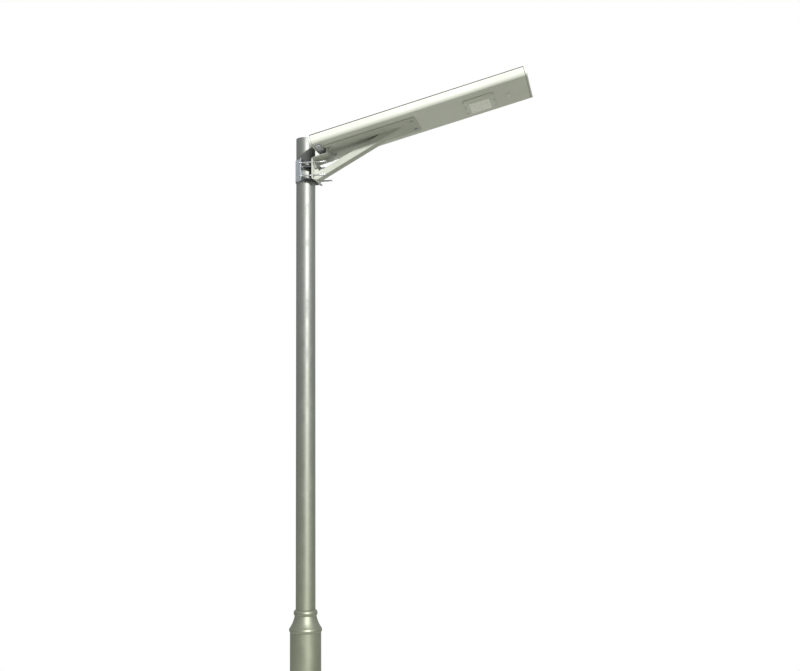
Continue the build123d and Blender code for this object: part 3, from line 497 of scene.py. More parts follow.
def metal(name, deep, light, rough, scale=120.0, grain=0.12, spangle=0.0):
    """Bare or plated metal: mottled colour, fine scratches and, on zinc, a crystal spangle."""
    finish = Finish(name, Metallic=1.0)
    base = finish.two_tone(finish.noise(scale, 4.0, 0.65), deep, light)
    gloss = finish.between(finish.noise(scale * 0.6, 4.0), 0.3, 0.7, rough - 0.08, rough + 0.10)
    if spangle:
        cell = finish.add("ShaderNodeTexVoronoi", Vector=finish.position, Scale=spangle)
        shade = finish.add("ShaderNodeSeparateColor", Color=cell.outputs["Color"]).outputs["Red"]
        tint = finish.ramp(shade, (0.1, deep), (0.9, light))
        base = finish.blend(0.55, base, tint)
        gloss = finish.between(shade, 0.0, 1.0, rough - 0.07, rough + 0.12)
    finish.colour(base)
    finish.roughness(gloss)
    scratch = finish.noise(900.0, 3.0, 0.6, finish.stretched(1, 1, 0.08))
    finish.bump((scratch, grain, 0.0003))
    return finish.material


def plastic(name, deep, light, rough, grain=0.15, scale=700.0):
    """Moulded plastic or rubber: fine spark-eroded grain and slight colour drift."""
    finish = Finish(name)
    finish.colour(finish.two_tone(finish.noise(30.0, 4.0), deep, light))
    finish.gloss(finish.noise(60.0, 3.0), rough - 0.06, rough + 0.06)
    finish.bump((finish.noise(scale, 3.0, 0.6), grain, 0.0004))
    return finish.material


def clear(name, tint, rough, weight=1.0, alpha=1.0):
    """Clear plastic or glass with faint dust and uneven gloss."""
    finish = Finish(name, Transmission_Weight=weight, IOR=1.45, Alpha=alpha)
    dust = finish.noise(40.0, 5.0, 0.6)
    finish.colour(finish.ramp(dust, (0.35, tint), (0.75, tuple(c * 0.9 for c in tint))))
    finish.gloss(dust, rough, rough + 0.08)
    finish.bump((finish.noise(90.0, 2.0), 0.01, 0.0002))
    return finish.material


def solar_cell():
    """Silicon cell: deep blue drifting from cell to cell, with fine silver fingers across it."""
    finish = Finish("solar_cell", Metallic=0.0, Coat_Weight=0.6, Coat_Roughness=0.05)
    drift = finish.noise(9.0, 3.0)
    blue = finish.two_tone(drift, (0.004, 0.008, 0.028), (0.010, 0.022, 0.070))
    level = finish.stretched(1, 1, 1, TILT)
    wave = finish.add("ShaderNodeTexWave", Vector=level, Scale=105.0, Distortion=0.0)
    wave.bands_direction = "Y"
    lines = finish.between(wave.outputs["Fac"], 0.93, 0.99, 0.0, 0.55)
    finish.colour(finish.blend(lines, blue, (0.42, 0.44, 0.47, 1)))
    finish.gloss(finish.noise(300.0, 3.0), 0.22, 0.34)
    finish.bump((finish.noise(600.0, 3.0), 0.05, 0.0002))
    return finish.material


def circuit(name, mask):
    """Solder mask with copper tracks that show through as slightly lighter lines."""
    finish = Finish(name)
    cells = finish.add("ShaderNodeTexVoronoi", Vector=finish.position, Scale=260.0)
    cells.feature = "DISTANCE_TO_EDGE"
    cells.distance = "EUCLIDEAN"
    track = finish.between(cells.outputs["Distance"], 0.04, 0.08, 0.6, 0.0)
    finish.colour(finish.blend(track, (*mask, 1), (*[min(1, c * 1.8 + 0.02) for c in mask], 1)))
    finish.gloss(finish.noise(80.0), 0.28, 0.42)
    finish.bump((track, 0.2, 0.0001))
    return finish.material


# the pole's low tint is a painted reflection of the green ground on its lower part
pole_paint = paint(
    "pole_paint", (0.235, 0.245, 0.225), (0.280, 0.290, 0.270), 0.50, streaks=(22, 22, 0.7), metallic=0.88,
    ground_reflection_tint=(0.985, 1.0, 0.80),
)
bracket_paint = paint(
    "bracket_paint", (0.46, 0.475, 0.415), (0.52, 0.535, 0.475), 0.42, streaks=(12, 12, 5)
)
body_paint = paint("body_paint", (0.635, 0.65, 0.58), (0.69, 0.71, 0.64), 0.36, coat=0.15)
cap_paint = paint("cap_paint", (0.66, 0.67, 0.61), (0.74, 0.75, 0.69), 0.42, grain=0.12)
galvanised = metal("galvanised", (0.42, 0.45, 0.48), (0.66, 0.69, 0.72), 0.42, spangle=70.0)
zinc = metal("zinc_plate", (0.48, 0.49, 0.50), (0.72, 0.73, 0.74), 0.30)
mill_aluminium = metal("mill_aluminium", (0.55, 0.56, 0.57), (0.72, 0.73, 0.74), 0.36)
nickel = metal("nickel_strip", (0.55, 0.53, 0.48), (0.72, 0.70, 0.65), 0.30)
seal_rubber = plastic("seal_rubber", (0.012, 0.012, 0.014), (0.022, 0.022, 0.025), 0.62)
liner_film = paint("liner_film", (0.22, 0.23, 0.21), (0.27, 0.28, 0.26), 0.55, metallic=0.8)
# painted shade: the cleats are galvanised but made near-black, for the shade between the clamp halves
cleat_steel_painted_shade = metal("cleat_steel_painted_shade", (0.10, 0.11, 0.12), (0.17, 0.18, 0.19), 0.45)
cover_plastic = plastic("cover_plastic", (0.44, 0.45, 0.49), (0.50, 0.51, 0.55), 0.45)
pale_plastic = plastic("pale_plastic", (0.66, 0.67, 0.64), (0.72, 0.73, 0.70), 0.42)
black_plastic = plastic("black_plastic", (0.012, 0.012, 0.013), (0.026, 0.026, 0.028), 0.48)
boot_rubber = plastic("boot_rubber", (0.015, 0.015, 0.016), (0.03, 0.03, 0.032), 0.58, 0.25)
white_film = plastic("white_film", (0.80, 0.80, 0.80), (0.86, 0.86, 0.86), 0.5, 0.05)
board_white = plastic("board_white", (0.80, 0.80, 0.77), (0.88, 0.88, 0.85), 0.35, 0.05)
chip_phosphor = plastic("chip_phosphor", (0.78, 0.62, 0.10), (0.86, 0.72, 0.20), 0.4, 0.1)
cell_sleeve = plastic("cell_sleeve", (0.02, 0.09, 0.22), (0.03, 0.12, 0.28), 0.3, 0.05)
wire_sleeve = plastic("wire_sleeve", (0.02, 0.02, 0.02), (0.05, 0.05, 0.05), 0.45, 0.05)
milky = plastic("milky_lens", (0.72, 0.72, 0.68), (0.80, 0.80, 0.76), 0.38, 0.05)
opal = plastic("opal_cover", (0.93, 0.94, 0.87), (0.97, 0.97, 0.92), 0.30, 0.04)
optic_clear = clear("optic_clear", (0.97, 0.97, 0.95), 0.05)
panel_glass = clear("panel_glass", (0.90, 0.95, 0.96), 0.10, 1.0)
cell_finish = solar_cell()
board_green = circuit("board_green", (0.012, 0.10, 0.035))


# ------------ pole
SEGMENTS = 128


def on_pole(name, rings, node, **how):
    """A painted piece that stands still with the pole."""
    piece(name, [rings], pole_paint, "pole", "pole_paint", [node], **how)


def tube_piece(name, node, wall, ease=0.6 * MM):
    """A round tube with eased corners."""
    low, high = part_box(node)
    rings = ring_solid(high.x - wall, high.x, low.z, high.z, ease, ROW, SEGMENTS)
    on_pole(name, rings, node, closed=True)


def collar_piece():
    """The collar's profile: arcs through three points for the rings and the hollow bell."""
    low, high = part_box("transition_collar")
    tube_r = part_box("upper_tube")[1].x
    lower_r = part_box("lower_tube")[1].x
    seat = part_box("lower_tube")[1].z + 0.1 * MM
    spigot = lower_r - 4.1 * MM
    neck = tube_r + 4.8 * MM
    upper = high.z - 15 * MM
    ring = upper - 73 * MM
    foot = (lower_r + 1 * MM, ring + 8 * MM)
    top = (neck, upper - 12 * MM)
    crest = (neck, upper + 12 * MM)
    knee = (neck + 0.34 * (foot[0] - neck), (foot[1] + top[1]) / 2)
    bore = tube_r + 0.1 * MM
    profile = np.concatenate([
        [(spigot - 3 * MM, low.z), (spigot, low.z), (spigot, seat)],
        arc_through((lower_r, seat), (lower_r + 4 * MM, ring), foot, 13),
        arc_through(foot, knee, top, 24)[1:],
        arc_through(top, (neck + 4.5 * MM, upper), crest, 15)[1:],
        [(bore, high.z), (bore, seat), (spigot - 3 * MM, seat)],
    ])
    rings = lathe(profile, ROW, SEGMENTS)
    on_pole("transition_collar_turned", rings, "transition_collar", closed=True, sharp=40)


def cap_piece():
    """Flat cap: an eased disc over a skirt inside the tube."""
    low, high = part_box("pole_cap")
    radius = high.x
    profile = [(radius - 6 * MM, low.z), (radius - 3.3 * MM, low.z), (radius - 3.3 * MM, high.z - 4 * MM)]
    profile += [(radius, high.z - 4 * MM)]
    turn = np.linspace(0, pi / 2, 6)
    profile += [(radius - 1.5 * MM * (1 - cos(t)), high.z - 1.5 * MM * (1 - sin(t))) for t in turn]
    profile += [(radius * 0.5, high.z + 0.4 * MM), (2 * MM, high.z + 0.6 * MM)]
    on_pole("pole_cap_turned", lathe(profile, ROW, SEGMENTS), "pole_cap")


def rib_pieces():
    """Four ribs with eased edges, and weld beads up the tube and along the flange."""
    low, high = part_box("base_ribs")
    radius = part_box("lower_tube")[1].x
    reach, foot, top = high.x, low.z, high.z
    nose = 14 * MM
    outline = [(radius, foot), (reach, foot), (reach, foot + nose), (radius + nose, top), (radius, top)]
    ribs, beads = [], []
    for quarter in range(4):
        turn = quarter * pi / 2
        out = (cos(turn), sin(turn), 0)
        where = place((0, 0, 0), out, (0, 0, 1))
        ribs.append(slab(np.array(outline), -4 * MM, 4 * MM, 0.8 * MM, where))
        for side in (-4.5 * MM, 4.5 * MM):
            beads.append(bead(*put([(radius, foot + 2 * MM, side), (radius, top, side)], where), 3 * MM))
            beads.append(bead(*put([(radius, foot, side), (reach, foot, side)], where), 3 * MM))
    ring = np.array([(radius * cos(t), radius * sin(t), foot) for t in np.linspace(0, 2 * pi, 400)])
    wave = 3 * MM * (1 + 0.1 * np.abs(np.sin(np.linspace(0, 2 * pi, 400) * 130)))
    beads.append(tube(ring, wave, 8))
    piece("base_ribs_eased", ribs, pole_paint, "pole", "pole_paint", ["base_ribs"])
    piece("base_welds", beads, pole_paint, "pole", "pole_paint", sharp=70)


# ------------ clamp and bracket
SHEET = 5.0 * MM
rods_low, rods_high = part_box("clamp_rods")
plate_low, plate_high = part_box("clamp_front_plate")
saddle_low, saddle_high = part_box("clamp_rear_saddle")
HEX = 6.5 * MM                 # half of a hexagon's width across its flats
HEX_CORNER = 7.5 * MM
HEAD_HEIGHT = 5.5 * MM
NUT_HEIGHT = 6.5 * MM
WASHER = 1.6 * MM
WASHER_R = 8 * MM
ROD_R = 4.0 * MM
ROD_BORE = 4.1 * MM
ROD_Y = 60 * MM
ROD_Z = (rods_low.z + HEX_CORNER, rods_high.z - HEX_CORNER)
FRONT_X = plate_low.x
JOGGLE_X = FRONT_X + 72 * MM
STRUT_DEPTH = 29 * MM
STRUT_WALL = 4 * MM
WEB_HEIGHT = 74 * MM
WEB_REACH = 34 * MM
WEB_Y = 18 * MM
CLEAT = 6 * MM
CLAMP_LOW, CLAMP_HIGH = saddle_low.z, saddle_high.z


def saddle_piece():
    """Half-shell and two flanges, without bolt holes: an outer and an inner arc and straight wings."""
    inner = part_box("clamp_liner")[1].x + 0.05 * MM
    outer = -saddle_low.x
    front = -3 * MM
    back = front - 4 * MM
    wing = saddle_high.y
    inner_turn = np.degrees(np.arccos(front / inner))
    outer_turn = np.degrees(np.arccos((back - 2 * MM) / outer))
    right = arc((0, 0), inner, -inner_turn, -360 + inner_turn, 48)
    left = arc((0, 0), outer, outer_turn, 360 - outer_turn, 48)
    outline = np.concatenate([
        [(front, -wing)], right, [(front, wing), (back, wing)],
        [(back, left[0][1] + 2 * MM)], left, [(back, left[-1][1] - 2 * MM), (back, -wing)],
    ])
    piece(
        "clamp_rear_saddle_pressed", [slab(outline, CLAMP_LOW, CLAMP_HIGH, 0.5 * MM)], galvanised,
        "rear_jaw", "galvanised", ["clamp_rear_saddle"],
    )


def cleat_pieces():
    """Notched plates: a rectangle open towards the pole by an arc round it.

    Both plates are drawn whole. In the CAD the upper one has only its -Y half. The arc reaches past
    the front plate's face, so the outline crosses itself there.
    """
    low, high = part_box("clamp_cleats")
    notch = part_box("clamp_liner")[1].x + 1.5 * MM
    left = 2 * MM
    turn = np.degrees(np.arccos(left / notch))
    cut = arc((0, 0), notch, turn, -turn, 40)
    solids = []
    for z in (low.z, high.z - CLEAT):
        outline = np.concatenate([
            soften([(FRONT_X, -high.y), (FRONT_X, high.y), (left, high.y)], [0, 0, CLEAT]), cut,
            arc((left + CLEAT, -high.y + CLEAT), CLEAT, 180, 270, 6),
        ])
        solids.append(slab(outline, z, z + CLEAT))
    # the cleats' near-black steel is painted shade
    on_head("clamp_cleats_notched", solids, cleat_steel_painted_shade, "galvanised", "clamp_cleats")


def plate_under(x):
    """Height of the top plate's lower face at x."""
    edge = put((50 * MM, 0, -SHEET), HEAD)
    return edge[2] + (x - edge[0]) * tan(TILT)


def bent_sheet():
    """The folded sheet, a strip along a bent path, and the flat top plate; both without bolt holes."""
    middle = FRONT_X + SHEET / 2
    foot = plate_low.z + SHEET / 2
    knee = CLAMP_HIGH - SHEET / 2 / cos(TILT)
    path = bend_path(
        [
            (plate_high.x, foot), (middle, foot), (middle, knee),
            (JOGGLE_X, knee + 19 * MM), (JOGGLE_X, plate_under(JOGGLE_X) + SHEET / 2),
        ],
        [10 * MM, 6 * MM, 4 * MM],
    )
    rings = slab(strip(path, SHEET), -plate_high.y, plate_high.y, 0.6 * MM, SIDE)
    on_head("bracket_bent_sheet", [rings], bracket_paint, "bracket_paint", "clamp_front_plate", sharp=30)
    end, half_width, _ = span("bracket_top_plate", HEAD)[1]
    start = 50 * MM
    outline = rounded_rectangle(end - start, 2 * half_width, 8 * MM)
    where = inside(HEAD, ((start + end) / 2, 0, 0))
    on_head(
        "bracket_top_plate_flat", [slab(outline, -SHEET, 0, 0.6 * MM, where)], bracket_paint,
        "bracket_paint", "bracket_top_plate"
    )


def strut_piece():
    """A channel carried along the strut: each section's floor and cheek tops are functions of x."""
    low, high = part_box("bracket_strut")
    start, end = low.x, high.x
    foot_x, foot_z = start + 7.5 * MM, plate_low.z + SHEET
    slope = (plate_under(end) - foot_z) / (end - foot_x)
    rise = sqrt(1 + slope**2)
    x = np.concatenate([np.linspace(start, foot_x, 8)[:-1], np.linspace(foot_x, end, 60)])
    bend = 7.5 * MM
    line = foot_z + (x - foot_x) * slope
    curve = foot_z + bend - np.sqrt(np.clip(bend**2 - (foot_x - x) ** 2, 0, None))
    floor = np.where(x < foot_x, curve, line)
    top = np.minimum(line + STRUT_DEPTH * rise, plate_under(x))
    top = np.maximum(top, floor + 1 * MM)
    wall = STRUT_WALL
    inner_floor = np.minimum(np.maximum(line + wall * rise, floor + 0.5 * MM), top - 0.2 * MM)
    half = high.y
    corner = 5 * MM
    turn = np.linspace(0, pi / 2, 5)
    across, height = [], []
    for t in turn:
        across.append(np.full_like(x, half - corner * (1 - sin(t))))
        height.append(floor + np.minimum(corner, (top - floor) * 0.5) * (1 - cos(t)))
    across += [np.full_like(x, reach) for reach in (half, half - wall, half - wall)]
    height += [top, top, inner_floor]
    across = np.array(across)
    height = np.array(height)
    y = np.concatenate([across, -across[::-1]]).T
    z = np.concatenate([height, height[::-1]]).T
    rings = np.stack([np.repeat(x[:, None], y.shape[1], 1), y, z], 2)
    on_head("bracket_strut_folded", [rings], bracket_paint, "bracket_paint", "bracket_strut", sharp=30)
    return start, end, foot_x, foot_z, slope, rise


def gusset_pieces(strut_facts):
    """Two triangular webs with eased edges."""
    start, _, foot_x, foot_z, slope, rise = strut_facts
    wall = STRUT_WALL * rise
    toe = start + WEB_REACH
    heel = foot_x + 4 * MM
    outline = [
        (start, foot_z + 10 * MM), (heel, foot_z + (heel - foot_x) * slope + wall),
        (toe, foot_z + (toe - foot_x) * slope + wall), (start, plate_low.z + WEB_HEIGHT),
    ]
    solids = []
    for y in (-WEB_Y, WEB_Y):
        where = place((0, y, 0), (1, 0, 0), (0, 0, 1))
        solids.append(slab(np.array(outline), -2 * MM, 2 * MM, 0.5 * MM, where))
    on_head("bracket_gussets_eased", solids, bracket_paint, "bracket_paint", "bracket_gussets")


def weld_pieces(strut_facts):
    """Weld beads where strut, webs, sheet and plate meet."""
    start, end, _, foot_z, slope, rise = strut_facts
    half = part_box("bracket_strut")[1].y
    top_meet = end - STRUT_DEPTH * rise / (slope - tan(TILT))
    beads = []
    for side in (-1, 1):
        y = side * half
        beads.append(bead((top_meet, y, plate_under(top_meet)), (end, y, plate_under(end)), 2.0 * MM))
        beads.append(bead((start, y, foot_z + 8 * MM), (start, y, foot_z + 20 * MM), 2.2 * MM))
        for web in (-2.5 * MM, 2.5 * MM):
            x = side * WEB_Y + web
            top = plate_low.z + WEB_HEIGHT - 2 * MM
            beads.append(bead((start, x, foot_z + 11 * MM), (start, x, top), 1.8 * MM))
    edge = JOGGLE_X + SHEET / 2
    reach = plate_high.y - 1 * MM
    beads.append(bead((edge, -reach, plate_under(edge)), (edge, reach, plate_under(edge)), 2.0 * MM))
    on_head("bracket_welds", beads, bracket_paint, "bracket_paint", sharp=70)


def rod_pieces():
    """Hexagon-head bolts with a real thread on the front half, washers and nuts."""
    heads, shanks, nuts, front, rear = [], [], [], [], []
    back = -8.6 * MM
    face = FRONT_X + SHEET
    for y in (-ROD_Y, ROD_Y):
        for z in ROD_Z:
            where = place((0, y, z), (0, 1, 0), (0, 0, 1))
            heads.append(hexagon(HEX, back - HEAD_HEIGHT, back, where))
            shanks.append(round_solid(ROD_R * 0.97, back - 0.5 * MM, face - 16 * MM, 0.2 * MM, where, 24))
            shanks.append(thread(ROD_R, face - 16.5 * MM, rods_high.x, 1.25 * MM, 0.55 * MM, where))
            front.append(washer(WASHER_R, face, face + WASHER, where))
            rear.append(washer(WASHER_R, back, back + WASHER, where))
            nuts.append(hexagon(HEX, face + WASHER, face + WASHER + NUT_HEIGHT, where, bore=ROD_BORE))
    piece("clamp_rods_threaded", heads + shanks, zinc, "rear_jaw", "zinc_fastener", ["clamp_rods"])
    piece("clamp_rear_washers_flat", rear, zinc, "rear_jaw", "zinc_fastener", ["clamp_rear_washers"],
          closed=True)
    on_head("clamp_front_washers_flat", front, zinc, "zinc_fastener", "clamp_front_washers", closed=True)
    on_head("clamp_nuts_chamfered", nuts, zinc, "zinc_fastener", "clamp_nuts", closed=True)


def bracket_bolt_pieces():
    """Four hexagon bolts and washers under the top plate."""
    low, high = span("bracket_bolts", HEAD)
    across = 60 * MM           # half the spacing across the head
    heads, rings = [], []
    for x in (low[0] + HEX_CORNER, high[0] - HEX_CORNER):
        for y in (-across, across):
            where = inside(UNDER, (x, y, 0))
            heads.append(hexagon(HEX, SHEET + WASHER, SHEET + WASHER + HEAD_HEIGHT, where))
            rings.append(washer(9 * MM, SHEET, SHEET + WASHER, where))
    on_head("bracket_bolt_heads", heads, zinc, "zinc_fastener", "bracket_bolts")
    on_head("bracket_washers_flat", rings, zinc, "zinc_fastener", "bracket_washers", closed=True)


# ------------ lamp head
EDGE_R = 20 * MM
CELLS_ALONG, CELLS_ACROSS, RIBBONS = 12, 3, 4
LED_COLUMNS, LED_ROWS, LED_PITCH = 4, 6, 22 * MM
WINDOW_LENGTH, WINDOW_WIDTH = 96 * MM, 139 * MM


def centred_under(node):
    """A node's box measured from below, and a place at its middle on the head's underside."""
    low, high = span(node, UNDER)
    return low, high, inside(UNDER, ((low[0] + high[0]) / 2, 0, 0))


def solid_section(height):
    """The head's outline as a full face: square top, rounded lower corners."""
    half = HEAD_WIDTH / 2
    return np.concatenate([
        [(half, height), (-half, height)],
        arc((-half + EDGE_R, EDGE_R), EDGE_R, 180, 270, 16),
        arc((half - EDGE_R, EDGE_R), EDGE_R, 270, 360, 16),
    ])


def casing_pieces():
    """Two cast end caps and the screws in them."""
    near_end = ("pole_side", 0.0, cap_high[0] - cap_low[0])
    for name, low, high in (near_end, ("far_side", far_low[0], far_high[0])):
        rings = slab(solid_section(HEAD_THICKNESS), low, high, 1.2 * MM, HEAD_ENDWAYS)
        on_head(f"end_cap_{name}_cast", [rings], cap_paint, "cap_metal", f"end_cap_{name}", sharp=30)
    heads = []
    half = HEAD_WIDTH / 2
    for side in (-1, 1):
        for inset, height in ((12 * MM, 8 * MM), (6 * MM, 34 * MM)):
            near = inside(HEAD, (0, side * (half - inset), height), (0, 1, 0), (0, 0, -1))
            far = inside(HEAD, (HEAD_LENGTH, side * (half - inset), height), (0, 1, 0), (0, 0, 1))
            heads += [socket_head(3.6 * MM, 2.2 * MM, near), socket_head(3.6 * MM, 2.2 * MM, far)]
    on_head("end_cap_screw_heads", heads, zinc, "zinc_fastener", "end_cap_screws")


def panel_pieces():
    """Laminate: seal round it, separate cells with soldered ribbons, and the glass on top."""
    low, high = span("pv_glass", HEAD)
    cells_low, cells_high = span("pv_cells", HEAD)
    seal_low, seal_high = span("pv_edge_seal", HEAD)
    middle = inside(HEAD, (HEAD_LENGTH / 2, 0, 0))
    outline = rounded_rectangle(seal_high[0] - seal_low[0], seal_high[1] - seal_low[1], 1 * MM, 3)
    edge = 3.5 * MM
    top = high[2]
    profile = [
        (0, seal_low[2]), (0, top - 0.8 * MM), (-0.8 * MM, top), (-edge, top), (-edge, low[2] - 1 * MM),
        (-9 * MM, low[2] - 1 * MM), (-9 * MM, seal_low[2]),
    ]
    seal = skin(outline, profile, middle)
    on_head("pv_edge_seal_moulded", [seal], seal_rubber, "seal_rubber", "pv_edge_seal", closed=True)
    glass = slab(
        rounded_rectangle(high[0] - low[0], high[1] - low[1], 1 * MM, 3), low[2], high[2], 0.5 * MM, middle
    )
    on_head("pv_glass_sheet", [glass], panel_glass, "pv_glass", "pv_glass")
    gap = 2.5 * MM
    length = (cells_high[0] - cells_low[0] - (CELLS_ALONG - 1) * gap) / CELLS_ALONG
    width = (cells_high[1] - cells_low[1] - (CELLS_ACROSS - 1) * gap) / CELLS_ACROSS
    outline = soften(
        np.array([(1, 1), (-1, 1), (-1, -1), (1, -1)]) * (length / 2, width / 2), [5 * MM] * 4, 3
    )
    cells, ribbons = [], []
    for i in range(CELLS_ALONG):
        for j in range(CELLS_ACROSS):
            x = cells_low[0] + length / 2 + i * (length + gap)
            y = cells_low[1] + width / 2 + j * (width + gap)
            where = inside(HEAD, (x, y, 0))
            cells.append(slab(outline, cells_low[2], cells_high[2] - 0.15 * MM, 0.05 * MM, where))
    bar = rounded_rectangle(cells_high[0] - cells_low[0], 1.4 * MM, 0.3 * MM, 2)
    for j in range(CELLS_ACROSS):
        for k in range(RIBBONS):
            y = cells_low[1] + j * (width + gap) + width * (k + 0.5) / RIBBONS
            where = inside(HEAD, (HEAD_LENGTH / 2, y, 0))
            top = cells_high[2] - 0.02 * MM
            ribbons.append(slab(bar, top - 0.14 * MM, top, 0.03 * MM, where))
    on_head("pv_cells_wafers", cells, cell_finish, "pv_cell", "pv_cells")
    on_head("pv_ribbons", ribbons, zinc, "zinc_fastener")


# ------------ light engine, sensor, cover, switch
def window_rings(stages, where):
    """Rings of rounded rectangles: each stage's growth, corner radius and height in millimetres."""
    rings = []
    for grow, radius, height in np.array(stages) * MM:
        flat = rounded_rectangle(WINDOW_LENGTH + 2 * grow, WINDOW_WIDTH + 2 * grow, radius, 10)
        rings.append(put(lifted(flat, height), where))
    return [np.array(rings)]


def light_pieces():
    """Sloped bezel and opal cover stacked from rounded rectangles, then the optics and screws."""
    _, high, where = centred_under("led_bezel")
    depth = high[2] / MM
    slope, face, flange = 9, 5.5, 10
    turn = np.linspace(0, pi / 2, 5)
    round_edge = [(face - 2 * (1 - sin(t)), 9, depth - 2 * (1 - cos(t))) for t in turn]
    outer = face + slope
    rim = outer + flange
    bezel = window_rings([
        (rim, 18, 1), (rim, 18, 3.2), (rim - 0.8, 17.2, 4), (outer + 1.5, 14.5, 4),
        (outer - 0.3, 13.5, 4.8), (face + 0.8, 9.4, depth - 3), *round_edge[::-1],
        (0.8, 9, depth), (0, 9, depth - 0.8), (0, 9, depth - 2), (3.7, 9, depth - 2),
        (6.7, 10, 5), (7.7, 11, 1),
    ], where)
    on_head("led_bezel_sloped", bezel, body_paint, "body_paint", "led_bezel", closed=True, sharp=30)
    cover = window_rings([
        (3.5, 9, depth - 4), (3.5, 9, depth - 2), (-0.2, 9, depth - 2), (-0.2, 9, depth - 0.5),
        (-0.8, 8.4, depth - 0.1), (-1.6, 7.6, depth),
    ], where)
    on_head("led_lens_cover", cover, opal, "milky_plastic", "led_lens", sharp=30)
    optics_low, optics_high = span("led_optics", where)
    dome_foot = optics_high[2] - 4 * MM
    turn = np.linspace(0, pi / 2, 7)
    dome_profile = [(7 * MM * cos(t), dome_foot + 4 * MM * sin(t)) for t in turn[:-1]]
    dome_profile += [(0.3 * MM, dome_foot + 4 * MM)]
    solids = []
    for i in range(LED_COLUMNS):
        for j in range(LED_ROWS):
            x, y = (i - (LED_COLUMNS - 1) / 2) * LED_PITCH, (j - (LED_ROWS - 1) / 2) * LED_PITCH
            spot = inside(where, (x, y, 0))
            solids.append(lathe(dome_profile, spot, 24))
    carrier = rounded_rectangle(optics_high[0] - optics_low[0], optics_high[1] - optics_low[1], 7 * MM)
    solids.append(slab(carrier, optics_low[2], dome_foot + 0.02 * MM, 0.3 * MM, where))
    on_head("led_optic_domes", solids, optic_clear, "clear_plastic", "led_optics")
    heads = []
    reach = (outer + flange / 2) * MM
    for side in (-1, 1):
        for y in (-1, 0, 1):
            x = side * (WINDOW_LENGTH / 2 + reach)
            across = y * (WINDOW_WIDTH / 2 + (rim - 10) * MM)
            spot = inside(where, (x, across, 4 * MM))
            heads.append(socket_head(3.8 * MM, 2.4 * MM, spot))
    on_head("led_bezel_screw_heads", heads, zinc, "zinc_fastener", "led_bezel_screws")


def sensor_pieces():
    """Flanged housing and a dome lens with shallow facets."""
    _, high, where = centred_under("pir_housing")
    radius = high[1]
    profile = [
        (9.6 * MM, -14 * MM), (11 * MM, -14 * MM), (11 * MM, 0), (radius, 0), (radius, 1.6 * MM),
        (radius - 1.2 * MM, 3 * MM), (9.6 * MM, 3 * MM), (9.6 * MM, -13.9 * MM),
    ]
    on_head(
        "pir_housing_ring", [lathe(profile, where, 64)], pale_plastic, "cover_plastic", "pir_housing",
        closed=True
    )
    lens_r = 9.4 * MM
    turn = full_turn(48)
    climb = np.linspace(0, 0.97, 13) * pi / 2
    phase = (climb[:, None] * 4 // 1) * 0.5
    facet = 1 - 0.018 * np.abs(np.sin(turn[None] * 6 + phase)) * np.cos(climb)[:, None]
    size = lens_r * facet * np.cos(climb)[:, None]
    rings = turned(size, turn, 3 * MM + lens_r * np.sin(climb), where)
    on_head("pir_lens_dome", [rings], milky, "milky_plastic", "pir_lens", sharp=20)


def cover_pieces():
    """Shallow service cover: its rounded outline, and rays from it to the switch's round hole."""
    low, high, where = centred_under("service_cover")
    depth = high[2]
    switch_low, switch_high = span("switch_body", UNDER)
    middle = np.array([0, (switch_low[1] + switch_high[1]) / 2])
    turn = np.linspace(0, pi / 2, 6)
    edge = 2.5 * MM
    rings = []
    for inset, height in [(0, 0)] + [(edge * (1 - cos(t)), depth - edge * (1 - sin(t))) for t in turn]:
        flat = rounded_rectangle(high[0] - low[0] - 2 * inset, high[1] - low[1] - 2 * inset, 8 * MM - inset)
        rings.append(lifted(denser(flat, 200), height))
    ray = rings[0][:, :2] - middle
    hole = middle + 7.2 * MM * ray / np.linalg.norm(ray, axis=1)[:, None]
    rings += [lifted(hole, depth), lifted(hole, 0)]
    on_head(
        "service_cover_moulded", [put(np.array(rings), where)], cover_plastic, "cover_plastic",
        "service_cover", closed=True, sharp=30
    )
    heads = []
    for y in (low[1] + 9 * MM, 0, high[1] - 9 * MM):
        spot = inside(where, (0, y, depth))
        heads.append(socket_head(3.8 * MM, 2.4 * MM, spot))
    on_head("service_cover_screw_heads", heads, zinc, "zinc_fastener", "service_cover_screws")


def switch_pieces():
    """Knurled bezel ring, and a rubber-faced button with shallow rings."""
    low, high = span("switch_body", UNDER)
    centre = (low + high) / 2
    where = inside(UNDER, (centre[0], centre[1], 0))
    depth = high[2]
    button_low, button_high = span("power_button", where)
    count = 96
    turn = full_turn(count)
    knurl = 1 + 0.012 * np.sign(np.sin(turn * 24))
    radii = [(5.06, 0), (9.8, 0), (9.88, 1), (9.88, 1), (9.1, 0), (5.6, 0), (5.06, 0)]
    levels = np.array([-3, -3, -2.6, -0.9, 0, 0, -0.5]) * MM
    size = np.array([radius * MM * (knurl if marked else np.ones(count)) for radius, marked in radii])
    rings = turned(size, turn, depth + levels, where)
    on_head("switch_bezel_ring", [rings], black_plastic, "black_plastic", "switch_body", closed=True)
    top = button_high[2]
    radius = button_high[0]
    share = np.linspace(0, 0.96, 16)
    ripple = 0.12 * MM * (np.cos(share * 6 * pi) - 1)
    face = np.stack([radius * (1 - share), top - 1.2 * MM * (1 - share) ** 4 + ripple], 1)
    profile = np.concatenate([[(radius, button_low[2]), (radius, top - 1.6 * MM)], face])
    piece("power_button_boot", [lathe(profile, where, 48)], boot_rubber, "power_button", "black_plastic",
          ["power_button"])


# ------------ build the lamp
tube_piece("lower_tube_round", "lower_tube", 4 * MM)
tube_piece("upper_tube_round", "upper_tube", 3 * MM)
collar_piece()
cap_piece()
rib_pieces()
saddle_piece()
cleat_pieces()
bent_sheet()
facts = strut_piece()
gusset_pieces(facts)
weld_pieces(facts)
rod_pieces()
bracket_bolt_pieces()
casing_pieces()
panel_pieces()
light_pieces()
sensor_pieces()
cover_pieces()
switch_pieces()

